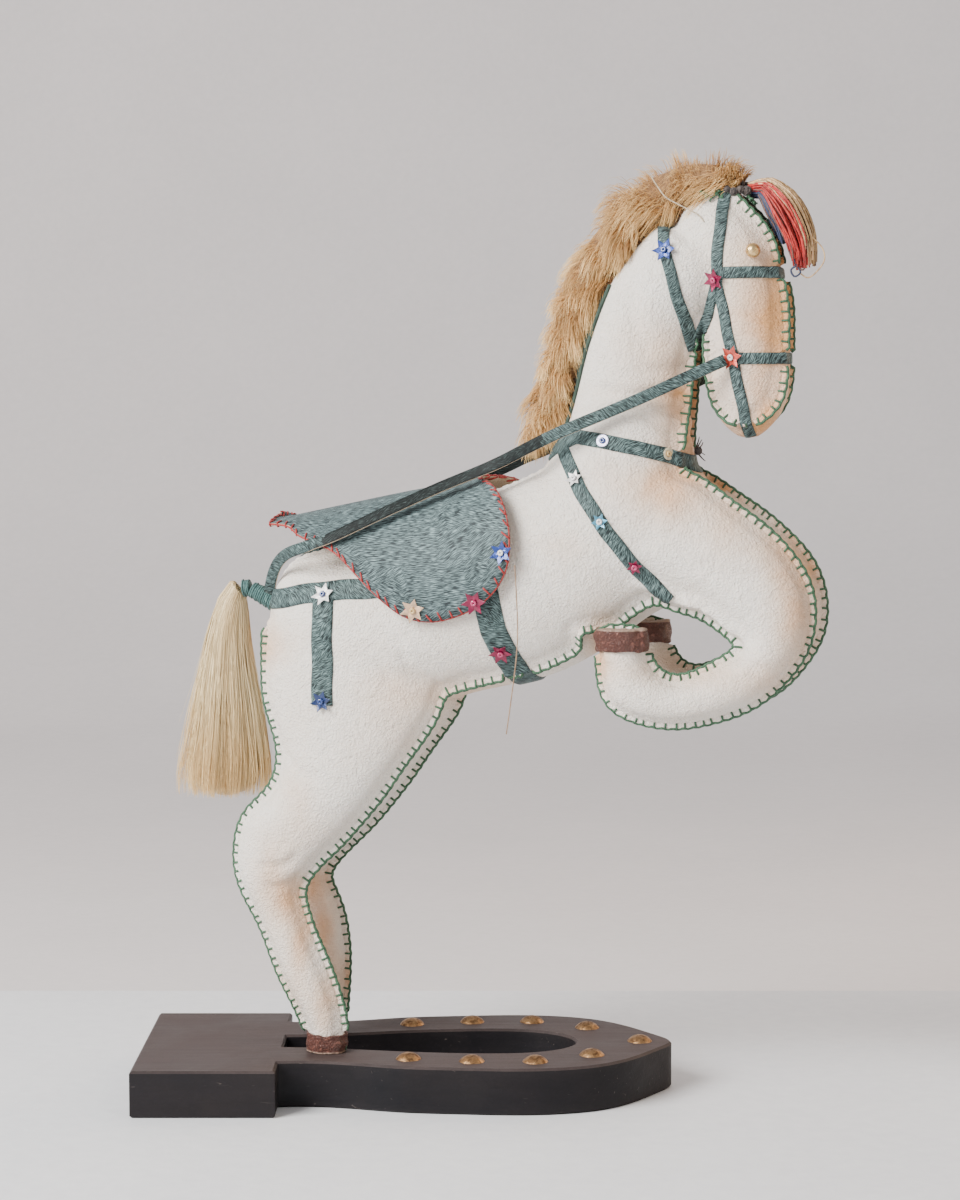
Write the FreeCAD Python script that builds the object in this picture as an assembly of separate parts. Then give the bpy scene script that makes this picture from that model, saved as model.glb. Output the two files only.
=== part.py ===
"""Stuffed leather pony rearing on a horseshoe shaped wooden base, with painted leather tack.

Units are millimetres. The row frame has +Z up, and its origin is on the underside, at the middle of the base.
The pony is drawn in its own upright plane: u runs the way it faces, q to its left, z up from the table,
with u = q = 0 midway between the hind feet. place() turns that plane and sets it on the base.
"""
import FreeCAD
import Part

import math
import os

V = FreeCAD.Vector
FAR = 400.0

# ---- base ----
BASE_LENGTH = 231.0
BASE_THICK = 20.0
HEEL_LENGTH = 61.0
HEEL_HALF_WIDTH = 56.0
EDGE_ROUND = 1.0
TACK_RADIUS = 5.5
TACK_HEIGHT = 2.8
TACK_SHANK_RADIUS = 0.8
TACK_SHANK_LENGTH = 10.0
TACKS = [(1.0, 33.0), (28.0, 37.5), (55.0, 38.0), (79.5, 26.0)]
TOE_TACK_X = 101.5
SHOE_EDGE = [(-54.5, 38.5), (-20.5, 42), (-3.5, 47), (22.5, 50.3), (48.5, 52), (66, 50), (83, 43.5), (99, 28.5),
             (109.5, 13)]
SLOT_EDGE = [(-54, 11), (-26.5, 14.2), (-3.1, 18.8), (29.5, 22.5), (57.5, 19.5), (69, 11.5)]
SLOT_TIP_X = 73.5

# ---- pony on the base ----
FEET_X = -36.5
HEADING_DEG = -15.0
LEG_Q = 16.5
BREAST_INNER_Q = 15.0
SEAM_Q = 17.2
LEATHER = 1.2
STRAP = 1.0
BAND = 1.4

# ---- wire inside ----
ROD_RADIUS = 1.5
ROD_IN_BASE = 16.0
FOOT_U = {-1: 6.5, 1: -5.0}

# ---- trimmings ----
STAR_RADIUS = 5.2
STAR_INNER = 2.4
SEQUIN_THICK = 0.3
SEED_RADIUS = 1.2
STAR_LIFT = 1.0
RING_LIFT = 0.4
RING_RADIUS = 2.6
EYE_RADIUS = 3.0
EYE_AT = (188.8, 361.0)
EYE_STANDS_OUT = 1.2
KNOT_AT = (165.2, -3.0, 279.0)
KNOT_RADIUS = 3.4
THREAD_DIAMETER = 0.5

# A station is (upper or outer edge point, lower or inner edge point, half width);
# a foreleg's station has its centre q too.
TORSO = [
    ((-19, 222), (-23, 192), 10),
    ((-12, 231), (-17, 182), 22),
    ((4, 236), (4, 172), 30),
    ((30, 243), (32, 166), 33),
    ((62, 256), (70, 176), 34),
    ((88, 266), (102, 184), 34),
    ((108, 276), (128, 198), 33),
    ((130, 284), (146, 211), 31),
    ((152, 279), (163, 219), 27),
    ((167, 271), (174, 236), 17),
]
NECK = [
    ((103, 268), (150, 246), 25),
    ((103, 280), (163, 268), 24),
    ((111, 300), (162, 284), 20),
    ((115, 322), (162, 303), 18),
    ((122, 341), (164, 321), 17),
    ((134, 360), (170, 337), 16.5),
    ((148, 374), (178, 352), 15.5),
]
HEAD = [
    ((163, 384), (174, 387), 4.5),
    ((156, 378), (184, 383), 10),
    ((155, 370), (190, 375), 13.5),
    ((160, 360), (196, 366), 15.5),
    ((166, 350), (199, 353), 16),
    ((169, 338), (202, 339), 15),
    ((168, 324), (203, 325), 13.5),
    ((169, 307), (203, 308), 12),
    ((172, 295), (200, 296), 10.5),
    ((178, 287.5), (193, 287.5), 6.5),
    ((182, 284.5), (189, 284.5), 3),
]
THIGH = [
    ((-16, 206), (56, 196), 12),
    ((-20, 188), (57, 174), 14),
    ((-18, 168), (50, 160), 14),
    ((-13, 147), (37, 142), 13.5),
    ((-18, 132), (26, 127), 13),
    ((-29, 121), (12.5, 112), 12.5),
    ((-33, 107), (1.5, 101), 11.5),
    ((-32, 94), (-5.5, 91), 10.5),
]
SHANK_RIGHT = [
    ((-26, 82), (-4.5, 83), 9.5),
    ((-18.5, 66), (1.5, 67), 9),
    ((-12, 50), (9, 50), 9),
    ((-4.5, 36), (13, 36), 8.2),
    ((-1.2, 28), (14, 28), 7.4),
    ((-1.0, 20), (14, 20), 7.4),
]
SHANK_LEFT = [
    ((-25, 83), (-2, 83), 9.5),
    ((-18.5, 66), (3, 66), 9),
    ((-16, 50), (4, 50), 9),
    ((-14, 36), (3, 36), 8.2),
    ((-12.5, 28), (2.6, 28), 7.4),
    ((-12.2, 20), (2.8, 20), 7.4),
]
FORE = [
    ((146, 272), (140, 222), 11, 16.5),
    ((166, 267), (156, 217), 12.5, 16.5),
    ((181, 257), (168, 214), 13, 16.5),
    ((196, 246), (178, 208), 13, 16.7),
    ((208, 233), (185, 202.5), 12.5, 17),
    ((214, 218), (188, 200), 12, 17.5),
    ((213, 204), (187.5, 198), 11.5, 18),
    ((207, 192), (184, 195.5), 11, 18.5),
    ((197, 181), (177, 191), 10.5, 19),
    ((182, 172.5), (168.5, 187), 10.5, 20),
    ((164, 168), (160, 184.5), 10, 21.5),
    ((146, 169), (153, 186.5), 10, 23),
    ((134, 175), (149.5, 189.5), 10, 23.7),
    ((129.5, 186), (147.5, 194), 9.2, 24),
    ((128.5, 197), (147, 198), 8.6, 24),
    ((128.5, 204.8), (146.5, 205.2), 8.4, 24),
]

# Where the stuffed form is divided, as outlines in the pony's upright plane.
HIND_REGION = [(-70, 209), (75, 162), (75, -5), (-70, -5)]
FORE_REGION = [(152, 150), (152, 207), (178, 285), (240, 285), (240, 150)]
HOOF_REGION = [(120, 150), (120, 206.6), (152, 206.6), (152, 150)]
HOOF_INNER_Q = 13.5
FORE_BAND_REGION = [(110, 197), (110, 209), (160, 209), (160, 197)]
NECK_REGION = [(80, 268), (172.3, 268), (167, 283), (166.2, 345), (140, 386), (80, 386)]
HEAD_REGION = [(167, 283), (240, 283), (240, 410), (140, 410), (140, 386), (166.2, 345)]
UNDER_REGION = [(-70, -5), (-70, 205), (-10, 205), (60, 212), (112, 232), (132, 262), (136, 300), (141, 330),
                (158, 356), (171, 372), (173, 410), (240, 410), (240, -5)]
THROAT_REGION = [(105, 262), (105, 345), (166.2, 345), (167, 283), (240, 283), (240, 262)]
SEAM_SPREAD = [(SEAM_Q, -5), (SEAM_Q, 255), (6.5, 300), (6.5, 410)]
FORELEG_SEAM = [(122, 24.6), (150, 23.4), (170, 21.3), (190, 18.8), (206, SEAM_Q)]
FORELEG_SEAM_TOP = 206.6

# Saddle cloth: a stiff arch over the back, cut out by its outline.
SADDLE_ARCH = [
    ((-24, 248), (-24, 203), 40),
    ((3, 253.8), (3, 190), 39.5),
    ((35, 260.5), (38, 180), 39),
    ((70, 267.5), (76, 184), 39),
    ((98, 277.5), (107, 190), 39),
]
SADDLE_OUTLINE = [
    (70, 266), (82, 263.5), (89.5, 255), (92.5, 245), (92.5, 234), (89.5, 226), (84, 219.5), (76.5, 214.3),
    (66, 210), (57, 208.6), (48, 210.6), (39.5, 216.7), (30.7, 225), (24, 231), (17.5, 236), (10.9, 239.3),
    (-0.2, 242.6), (-7.3, 246.6), (-17.7, 246.6), (-20, 262), (70, 285),
]

# Tack in the upright plane: the outline of each strap, worked out from its centre line and its width.
CHEEK = ([(176.6, 384), (174.1, 349)], 4.6)
CHIN = ([(174.1, 351), (180.9, 318), (188.5, 279)], 4.6)
JAW = ([(174.8, 349), (164, 320.5)], 4.4)
THROAT = ([(149, 379), (153.3, 361), (164.4, 319.5)], 4.6)
BROWBAND = ([(173, 352.2), (215, 352.8)], 4.6)
NOSEBAND = ([(180, 317.4), (215, 317.6)], 4.4)
COLLAR = ([(100, 276), (108, 281.2), (117, 285.2), (128.9, 283.4), (143, 280.6), (154.1, 277.8),
           (178, 268.5)], 5.8)
BREAST = ([(109.3, 282.2), (117.9, 267.2), (129.9, 250.3), (143.4, 232.5), (158.5, 216.5)], 5.8)
GIRTH = ([(81, 222), (84.5, 205), (97.5, 170)], 11)
HIP = ([(-26, 213.2), (-19.4, 214.6), (10.2, 219.6), (44, 221.5)], 8)
HIP_DROP = ([(9.6, 219), (9.2, 171.5)], 9.5)
REIN = [
    (178.0, 316.3, 16.4), (166, 311, 19.5), (145, 301.2, 23.5), (128, 294, 25.5), (111, 287, 26.5), (98, 281, 24.5),
    (82, 273.5, 16.5), (60, 264, 20), (38, 253.5, 29), (13.6, 242, 36), (4.2, 239.5, 34.5), (-7.2, 237.9, 29),
    (-15.1, 232.7, 21), (-21.4, 225, 13.5),
]
REIN_WIDTH = 4.2
REIN_THICK = 0.9

STARS_ON_TACK = [(153.3, 361.4), (174.1, 349.7), (180.8, 318.0), (117.7, 267.4), (129.8, 250.4), (143.4, 232.6),
                 (86.5, 195.9), (9.9, 217.8), (9.4, 173.2)]
STARS_ON_SADDLE = [(91.0, 237.5), (78.4, 217.1), (51.8, 213.3)]
RINGS_ON_COLLAR = [(128.9, 283.4), (154.1, 278.2)]

TAIL_PIVOT = (-33.5, 218.5)
TAIL = [
    ((-41.5, 221.5), (-36.6, 214.5), 4.2),
    ((-47.5, 214), (-35.4, 208), 6.5),
    ((-52.5, 200), (-34.4, 197), 8),
    ((-57, 181), (-31.5, 179), 9.5),
    ((-61, 160), (-28, 159), 11),
    ((-65, 138), (-25.5, 138), 12.5),
    ((-64, 127), (-27, 127), 12.5),
]
MANE = [
    ((183, 392.5), (179, 381), 5),
    ((172, 398), (170, 379), 8.5),
    ((152, 400), (158, 372), 10),
    ((133, 391.5), (146, 366), 10),
    ((120, 377), (136, 356), 10),
    ((109, 358), (128, 344), 10),
    ((101, 338), (121, 331), 10),
    ((94.5, 317), (117, 314), 10),
    ((90, 299), (114, 298), 9.5),
    ((92, 285.5), (109, 291.5), 7),
]
TASSEL = [
    ((184.2, 393.5), (184.8, 387.3), 4),
    ((193, 394.5), (189.3, 383.5), 6.5),
    ((203, 388), (196.5, 378.5), 8),
    ((209, 374), (200.8, 368.6), 8.5),
    ((213, 360), (203.4, 357.5), 7.5),
    ((213.4, 354), (205.5, 353.5), 5.5),
]
THREAD = [(96.4, 233, 42.2), (97.2, 222, 42.4), (97.9, 202, 42), (95.5, 182, 41.5), (92.6, 163, 41)]


# ---- places and simple forms ----

def place(shape):
    """The shape moved from the pony's own frame to the row frame."""
    placed = shape.copy()
    placed.rotate(V(0, 0, 0), V(0, 0, 1), HEADING_DEG)
    placed.translate(V(FEET_X, 0, 0))
    return placed


def oval(station, side_q):
    """A closed wire of two half ellipses; one axis runs from edge to edge, the other sideways."""
    a, b, half_width = station
    centre = V((a[0] + b[0]) / 2, side_q, (a[1] + b[1]) / 2)
    half_length = math.hypot(a[0] - b[0], a[1] - b[1]) / 2
    half_width = min(half_width, 0.98 * half_length)
    curve = Part.Ellipse(V(a[0], side_q, a[1]), V(centre.x, side_q + half_width, centre.z), centre)
    halves = [Part.ArcOfEllipse(curve, start, start + math.pi).toShape() for start in (0, math.pi)]
    return Part.Wire(halves)


def bent_oval(station, side, steps=6):
    """Nearly the same wire as two smooth curves through points, which a tight bend lofts well through."""
    a, b, half_width, station_q = station
    centre = V((a[0] + b[0]) / 2, side * station_q, (a[1] + b[1]) / 2)
    reach = V((a[0] - b[0]) / 2, 0, (a[1] - b[1]) / 2)
    halves = []
    for turn in (1, -1):
        angles = [math.pi * i / steps for i in range(steps + 1)]
        points = [centre + reach * (turn * math.cos(t)) + V(0, turn * half_width * math.sin(t), 0)
                  for t in angles]
        curve = Part.BSplineCurve()
        curve.interpolate(points, InitialTangent=V(0, turn, 0), FinalTangent=V(0, -turn, 0))
        halves.append(curve.toShape())
    return Part.Wire(halves)


def inset(stations, wall):
    """The stations shrunk on every side by that much; a negative wall makes them grow."""
    if wall == 0:
        return stations
    shrunk = []
    for a, b, half_width, *station_q in stations:
        length = math.hypot(b[0] - a[0], b[1] - a[1])
        du, dz = wall * (b[0] - a[0]) / length, wall * (b[1] - a[1]) / length
        shrunk.append(((a[0] + du, a[1] + dz), (b[0] - du, b[1] - dz), half_width - wall, *station_q))
    for end, beside in ((0, 1), (-1, -2)):
        a, b, half_width, *station_q = shrunk[end]
        step_u = (shrunk[beside][0][0] + shrunk[beside][1][0] - a[0] - b[0]) / 2
        step_z = (shrunk[beside][0][1] + shrunk[beside][1][1] - a[1] - b[1]) / 2
        scale = wall / math.hypot(step_u, step_z)
        du, dz = step_u * scale, step_z * scale
        shrunk[end] = ((a[0] + du, a[1] + dz), (b[0] + du, b[1] + dz), half_width, *station_q)
    return shrunk


def loft(stations, side_q=0.0, section=oval):
    """A solid through the stations."""
    return Part.makeLoft([section(station, side_q) for station in stations], True, False)


def mirrored(shape):
    """The same piece on the pony's other side."""
    return shape.mirror(V(0, 0, 0), V(0, 1, 0))


def foreleg(stations, side):
    """A solid through a foreleg's stations."""
    left = loft(stations, 1, bent_oval)
    return left if side > 0 else mirrored(left)


def main_solid(shape):
    """The largest solid of a shape, without the slivers that cutting leaves."""
    return max(shape.Solids, key=lambda solid: solid.Volume)


def pony_form(wall):
    """The whole stuffed form in one solid, smaller by the wall."""
    forms = [loft(inset(stations, wall)) for stations in (TORSO, NECK, HEAD)]
    for side, shank in ((-1, SHANK_RIGHT), (1, SHANK_LEFT)):
        forms.append(loft(inset(THIGH + shank, wall), side * LEG_Q))
        forms.append(foreleg(inset(FORE, wall), side))
    return forms[0].multiFuse(forms[1:])


def slab(outline, low_q, high_q):
    """A prism across the pony, from an outline in its upright plane."""
    points = [V(u, low_q, z) for u, z in outline]
    face = Part.Face(Part.makePolygon(points + points[:1]))
    return face.extrude(V(0, high_q - low_q, 0))


def ribbon(line, width):
    """The outline of a strap of that width about its centre line."""
    upper, lower = [], []
    for i, (u, z) in enumerate(line):
        before, after = line[max(i - 1, 0)], line[min(i + 1, len(line) - 1)]
        du, dz = after[0] - before[0], after[1] - before[1]
        half = width / 2 / math.hypot(du, dz)
        upper.append((u - dz * half, z + du * half))
        lower.append((u + dz * half, z - du * half))
    return upper + lower[::-1]


def bent_tube(points, radius):
    """A round bar along straight runs joined by arcs that are as large as the runs allow."""
    points = [V(*p) for p in points]
    edges, start, radii = [], points[0], []
    for before, corner, after in zip(points, points[1:], points[2:]):
        back, on = (before - corner).normalize(), (after - corner).normalize()
        reach = 0.45 * min((before - corner).Length, (after - corner).Length)
        first, last = corner + back * reach, corner + on * reach
        half_turn = (math.pi - back.getAngle(on)) / 2
        bend = reach / math.tan(half_turn)
        bisector = (back + on).normalize()
        middle = corner + bisector * (bend / math.cos(half_turn) - bend)
        edges += [Part.LineSegment(start, first).toShape(), Part.Arc(first, middle, last).toShape()]
        start = last
        radii.append(bend)
    edges.append(Part.LineSegment(start, points[-1]).toShape())
    path = Part.Wire(edges)
    ring = Part.Wire([Part.Circle(points[0], points[1] - points[0], radius).toShape()])
    tube = path.makePipeShell([ring], True, False)
    return tube, min(radii), path.Length


# ---- base ----

def closed_outline(edge, tip_x):
    """A wire in the table's plane: one side's edge, a round tip, the mirrored edge, a straight heel end."""
    there = [V(x, y, 0) for x, y in edge]
    back = [V(x, -y, 0) for x, y in edge[::-1]]
    curve = Part.BSplineCurve()
    curve.interpolate(there + [V(tip_x, 0, 0)] + back)
    return Part.Wire([curve.toShape(), Part.makeLine(back[-1], there[0])])


def base_board(rods):
    """One board: a square heel, a horseshoe with a slot, bores for the rods and the tacks' shanks."""
    heel = Part.makeBox(HEEL_LENGTH, 2 * HEEL_HALF_WIDTH, BASE_THICK, V(-BASE_LENGTH / 2, -HEEL_HALF_WIDTH, 0))
    shoe = Part.Face(closed_outline(SHOE_EDGE, BASE_LENGTH / 2)).extrude(V(0, 0, BASE_THICK))
    slot = Part.Face(closed_outline(SLOT_EDGE, SLOT_TIP_X)).extrude(V(0, 0, BASE_THICK))
    board = heel.fuse(shoe).cut(slot).removeSplitter()
    rims = [e for e in board.Edges if e.BoundBox.ZMin > BASE_THICK - 0.01 or e.BoundBox.ZMax < 0.01]
    board = board.makeChamfer(EDGE_ROUND, rims)
    shanks = [Part.makeCylinder(TACK_SHANK_RADIUS, TACK_SHANK_LENGTH, V(x, y, BASE_THICK - TACK_SHANK_LENGTH))
              for x, y in tack_places()]
    return board.cut(Part.makeCompound(shanks + rods))


def tack_places():
    """The tacks' centres: four a side, and one at the toe."""
    places = [(TOE_TACK_X, 0.0)]
    for x, y in TACKS:
        places += [(x, y), (x, -y)]
    return places


def brass_tacks():
    """Domed upholstery tacks driven into the shoe."""
    ball_radius = (TACK_RADIUS ** 2 + TACK_HEIGHT ** 2) / (2 * TACK_HEIGHT)
    tacks = []
    for x, y in tack_places():
        ball = Part.makeSphere(ball_radius, V(x, y, BASE_THICK + TACK_HEIGHT - ball_radius))
        dome = ball.common(Part.makeCylinder(TACK_RADIUS, TACK_HEIGHT, V(x, y, BASE_THICK)))
        shank = Part.makeCylinder(TACK_SHANK_RADIUS, TACK_SHANK_LENGTH, V(x, y, BASE_THICK - TACK_SHANK_LENGTH))
        tacks.append(dome.fuse(shank))
    return Part.makeCompound(tacks)


# ---- wire frame inside ----

def leg_rod(side):
    """A rod from the base, up through one hind leg, into the trunk."""
    shank = [(-1.5, 52), (-10, 70)] if side < 0 else [(-6, 52), (-11, 70)]
    line = ([(FOOT_U[side], BASE_THICK - ROD_IN_BASE), (FOOT_U[side], 36)] + shank
            + [(-18, 88), (-17, 104), (-5, 119), (8, 138), (15, 162)])
    return bent_tube([(u, side * LEG_Q, z) for u, z in line] + [(22, side * 14, 186), (36, side * 10, 204)],
                     ROD_RADIUS)


def back_rod():
    """The wire of the trunk, neck and head."""
    line = [(12, 207), (40, 212), (72, 222), (104, 238), (126, 262), (137, 290), (140, 318), (150, 342),
            (170, 354)]
    return bent_tube([(u, 0, z) for u, z in line], ROD_RADIUS)


def foreleg_wire(side):
    """The wire that holds one bent foreleg."""
    line = [(92, 226, 9), (118, 232, 12), (144, 239, 16), (168, 238, 16.5), (188, 228, 16.8), (200, 212, 17.5),
            (196, 197, 18.3), (180, 184, 19.6), (160, 177, 21.6), (146, 180, 23.2), (139, 190, 23.9), (138, 201, 24)]
    return bent_tube([(u, side * q, z) for u, z, q in line], ROD_RADIUS)


# ---- stuffing and leather ----

def half_space(side):
    """Everything on one side of the pony's middle plane."""
    low = -FAR if side < 0 else 0
    return Part.makeBox(2 * FAR, FAR, 2 * FAR, V(-FAR, low, -FAR))


def stuffing(core):
    """The stuffing, divided where a maker would fill one part after another."""
    hind, neck, head = slab(HIND_REGION, -FAR, FAR), slab(NECK_REGION, -FAR, FAR), slab(HEAD_REGION, -FAR, FAR)
    pieces, limbs = {}, [hind, neck, head]
    for side, name in ((-1, "right"), (1, "left")):
        low, high = (-FAR, -HOOF_INNER_Q) if side < 0 else (HOOF_INNER_Q, FAR)
        fore = slab(FORE_REGION, *sorted((0, side * FAR))).fuse(slab(HOOF_REGION, low, high))
        pieces["stuffing_foreleg_" + name] = main_solid(core.common(fore))
        pieces["stuffing_hind_leg_" + name] = core.common(hind.common(half_space(side)))
        limbs.append(fore)
    pieces["stuffing_trunk"] = main_solid(core.cut(limbs))
    pieces["stuffing_neck"] = core.common(neck)
    pieces["stuffing_head"] = core.common(head)
    return pieces


def leather(outer, core):
    """The two side panels, and the long gusset between them in three lengths."""
    spread = [V(-FAR, q, z) for q, z in SEAM_SPREAD] + [V(-FAR, -q, z) for q, z in SEAM_SPREAD[::-1]]
    strip = Part.Face(Part.makePolygon(spread + spread[:1])).extrude(V(2 * FAR, 0, 0))
    lining = [V(u, q, 0) for u, q in FORELEG_SEAM] + [V(u, -q, 0) for u, q in FORELEG_SEAM[::-1]]
    inner_legs = Part.Face(Part.makePolygon(lining + lining[:1])).extrude(V(0, 0, FORELEG_SEAM_TOP))
    gusset = strip.common(slab(UNDER_REGION, -FAR, FAR)).fuse(inner_legs)
    face, throat = slab(HEAD_REGION, -FAR, FAR), slab(THROAT_REGION, -FAR, FAR)
    cuts = {
        "side_panel_right": half_space(-1).cut(gusset),
        "side_panel_left": half_space(1).cut(gusset),
        "face_gusset": gusset.common(face),
        "throat_gusset": gusset.common(throat),
        "belly_gusset": gusset.cut([face, throat]),
    }
    return {name: main_solid(outer.common(cut).cut(core.common(cut))) for name, cut in cuts.items()}


def hind_band(shank, side, outer):
    """A leather band round the end of a hind leg, standing on the base."""
    foot = shank[-2:]
    band = loft(inset(foot, -BAND), side * LEG_Q).cut(loft(foot, side * LEG_Q))
    height = foot[0][0][1] - BASE_THICK
    ring = band.common(Part.makeBox(2 * FAR, 2 * FAR, height, V(-FAR, -FAR, BASE_THICK)))
    return main_solid(ring.cut(outer))


def fore_band():
    """A leather band that also closes the end of the raised left foreleg."""
    band = foreleg(inset(FORE, -BAND), 1).cut(foreleg(FORE, 1))
    return main_solid(band.common(slab(FORE_BAND_REGION, -FAR, FAR)))


# ---- tack ----

def strap(layer, taken, line, width, low_q, high_q):
    """A strap that lies on the leather, cut off where another strap already lies."""
    piece = slab(ribbon(line, width), low_q, high_q)
    for other in taken:
        piece = piece.cut(other)
    taken.append(slab(ribbon(line, width), low_q, high_q))
    return main_solid(layer.common(piece))


def tack(layer):
    """The bridle, collar, girth and hip straps."""
    made, head_taken, trunk_taken = {}, [], []
    pairs = (("chin_strap", CHIN, head_taken, 3.0), ("cheek_strap", CHEEK, head_taken, 3.0),
             ("throat_strap", THROAT, head_taken, 3.0), ("jaw_strap", JAW, head_taken, 3.0),
             ("breast_strap", BREAST, trunk_taken, BREAST_INNER_Q), ("hip_strap", HIP, trunk_taken, 3.0),
             ("hip_drop_strap", HIP_DROP, trunk_taken, LEG_Q))
    for name, (line, width), taken, inner_q in pairs:
        right = strap(layer, taken, line, width, -FAR, -inner_q)
        taken.append(slab(ribbon(line, width), inner_q, FAR))
        made[name + "_right"], made[name + "_left"] = right, mirrored(right)
    for name, (line, width), taken in (("browband", BROWBAND, head_taken), ("noseband", NOSEBAND, head_taken),
                                       ("breast_collar", COLLAR, trunk_taken), ("girth", GIRTH, trunk_taken)):
        made[name] = strap(layer, taken, line, width, -FAR, FAR)
    return made


def rein(side):
    """A narrow flat strap from the nose star, over the withers, to the dock."""
    sections = []
    for i, (u, z, q) in enumerate(REIN):
        before, after = REIN[max(i - 1, 0)], REIN[min(i + 1, len(REIN) - 1)]
        along = V(after[0] - before[0], 0, after[1] - before[1]).normalize()
        up = V(-along.z, 0, along.x) * (REIN_WIDTH / 2)
        out = V(0, side * REIN_THICK, 0)
        corner = V(u, side * q, z)
        points = [corner - up, corner + up, corner + up + out, corner - up + out]
        sections.append(Part.makePolygon(points + points[:1]))
    return Part.makeLoft(sections, True, True)


def saddle_cloth():
    """A stiff cloth that arches over the back and stands off it behind."""
    under = [((a[0], a[1] - STRAP), (b[0], b[1] + STRAP), w - STRAP) for a, b, w in SADDLE_ARCH]
    return loft(SADDLE_ARCH).cut(loft(under)).common(slab(SADDLE_OUTLINE, -FAR, FAR))


# ---- sequins, beads, hair and thread ----

def surface(solid, u, z, side):
    """The outermost point of a solid at that height and place, on one side, and its outward normal."""
    def reach(at_u, at_z):
        line = Part.makeLine(V(at_u, side * FAR, at_z), V(at_u, 0, at_z))
        inside = line.common(solid)
        return max(abs(v.Y) for v in inside.Vertexes)
    step = 1.5
    slope_u = (reach(u + step, z) - reach(u - step, z)) / (2 * step)
    slope_z = (reach(u, z + step) - reach(u, z - step)) / (2 * step)
    normal = V(-slope_u, side, -slope_z).normalize()
    return V(u, side * reach(u, z), z), normal


def turned(shape, point, normal):
    """A shape made at the origin about +Z, moved to a point and turned to its normal."""
    placed = shape.copy()
    placed.Placement = FreeCAD.Placement(point, FreeCAD.Rotation(V(0, 0, 1), normal))
    return placed


def star():
    """A six pointed sequin."""
    points = []
    for i in range(12):
        radius = STAR_RADIUS if i % 2 == 0 else STAR_INNER
        angle = math.pi * i / 6
        points.append(V(radius * math.cos(angle), radius * math.sin(angle), 0))
    return Part.Face(Part.makePolygon(points + points[:1])).extrude(V(0, 0, SEQUIN_THICK))


def ring_sequin():
    """A small round sequin."""
    return Part.makeCylinder(RING_RADIUS, SEQUIN_THICK)


def sequins(skin_form, side):
    """The sequins of one side, and the seed beads that hold them."""
    stars, beads = [], []
    saddle_form = loft(SADDLE_ARCH)
    for places, solid, piece, lift in ((STARS_ON_TACK, skin_form, star(), STRAP + STAR_LIFT),
                                       (RINGS_ON_COLLAR, skin_form, ring_sequin(), STRAP + RING_LIFT),
                                       (STARS_ON_SADDLE, saddle_form, star(), STAR_LIFT)):
        for u, z in places:
            point, normal = surface(solid, u, z, side)
            stars.append(turned(piece, point + normal * lift, normal))
            beads.append(Part.makeSphere(SEED_RADIUS, point + normal * (lift + SEQUIN_THICK + SEED_RADIUS)))
    return Part.makeCompound(stars), Part.makeCompound(beads)


def crupper():
    """The wrapped dock that the tail hangs from."""
    start, end = V(-15, 0, 209), V(TAIL_PIVOT[0] + 1.6, 0, TAIL_PIVOT[1] - 0.8)
    return Part.makeCone(4.6, 3.4, (end - start).Length, start, end - start)


def tail_binding():
    """The thread that ties the hair to the dock."""
    start = V(TAIL_PIVOT[0] - 0.2, 0, TAIL_PIVOT[1] + 0.1)
    return Part.makeCone(3.5, 3.9, 3.0, start, V(-2.3, 0, -0.2))


def all_pieces():
    """Every node's shape in the row frame."""
    outer, core, over = pony_form(0.0), pony_form(LEATHER), pony_form(-STRAP)
    layer = over.cut(outer)
    nodes, in_base = {}, []
    for side, name in ((-1, "right"), (1, "left")):
        nodes["leg_rod_" + name] = leg_rod(side)[0]
        nodes["foreleg_wire_" + name] = foreleg_wire(side)[0]
        bore = Part.makeCylinder(ROD_RADIUS, ROD_IN_BASE,
                                 V(FOOT_U[side], side * LEG_Q, BASE_THICK - ROD_IN_BASE))
        in_base.append(place(bore))
    nodes["back_rod"] = back_rod()[0]
    nodes.update(stuffing(core))
    nodes.update(leather(outer, core))
    for side, name, shank in ((-1, "right", SHANK_RIGHT), (1, "left", SHANK_LEFT)):
        nodes["hoof_band_hind_" + name] = hind_band(shank, side, outer)
    nodes["hoof_band_fore_left"] = fore_band()
    nodes["hoof_band_fore_right"] = mirrored(nodes["hoof_band_fore_left"])
    nodes.update(tack(layer))
    for name in ("breast_strap_right", "breast_strap_left"):
        # Beside the foreleg the stuffing comes up to the skin, so the strap gives way to it.
        nodes[name] = main_solid(nodes[name].cut(nodes["stuffing_trunk"]))
    nodes["rein_right"], nodes["rein_left"] = rein(-1), rein(1)
    nodes["saddle_cloth"] = saddle_cloth()
    throat_straps = [nodes["throat_strap_right"], nodes["throat_strap_left"]]
    nodes["mane"] = main_solid(loft(MANE).cut([outer] + throat_straps))
    nodes["crupper"] = crupper().cut(over)
    nodes["tail_binding"] = tail_binding()
    nodes["tail_hair"] = loft(TAIL)
    nodes["forelock_tassel"] = loft(TASSEL)
    for side, name in ((-1, "right"), (1, "left")):
        stars, beads = sequins(outer, side)
        nodes["star_sequins_" + name], nodes["seed_beads_" + name] = stars, beads
        point, normal = surface(outer, *EYE_AT, side)
        nodes["eye_bead_" + name] = Part.makeSphere(EYE_RADIUS, point + normal * EYE_STANDS_OUT).cut(outer)
    nodes["collar_knot"] = Part.makeSphere(KNOT_RADIUS, V(*KNOT_AT)).cut(over)
    thread, bend, length = bent_tube([(u, -q, z) for u, z, q in THREAD], THREAD_DIAMETER / 2)
    nodes["loose_thread"] = thread
    print("loose thread: tightest radius %.1f, length %.1f" % (bend, length))
    nodes = {name: place(shape) for name, shape in nodes.items()}
    nodes["base_board"] = base_board(in_base)
    nodes["brass_tacks"] = brass_tacks()
    return nodes


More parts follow.
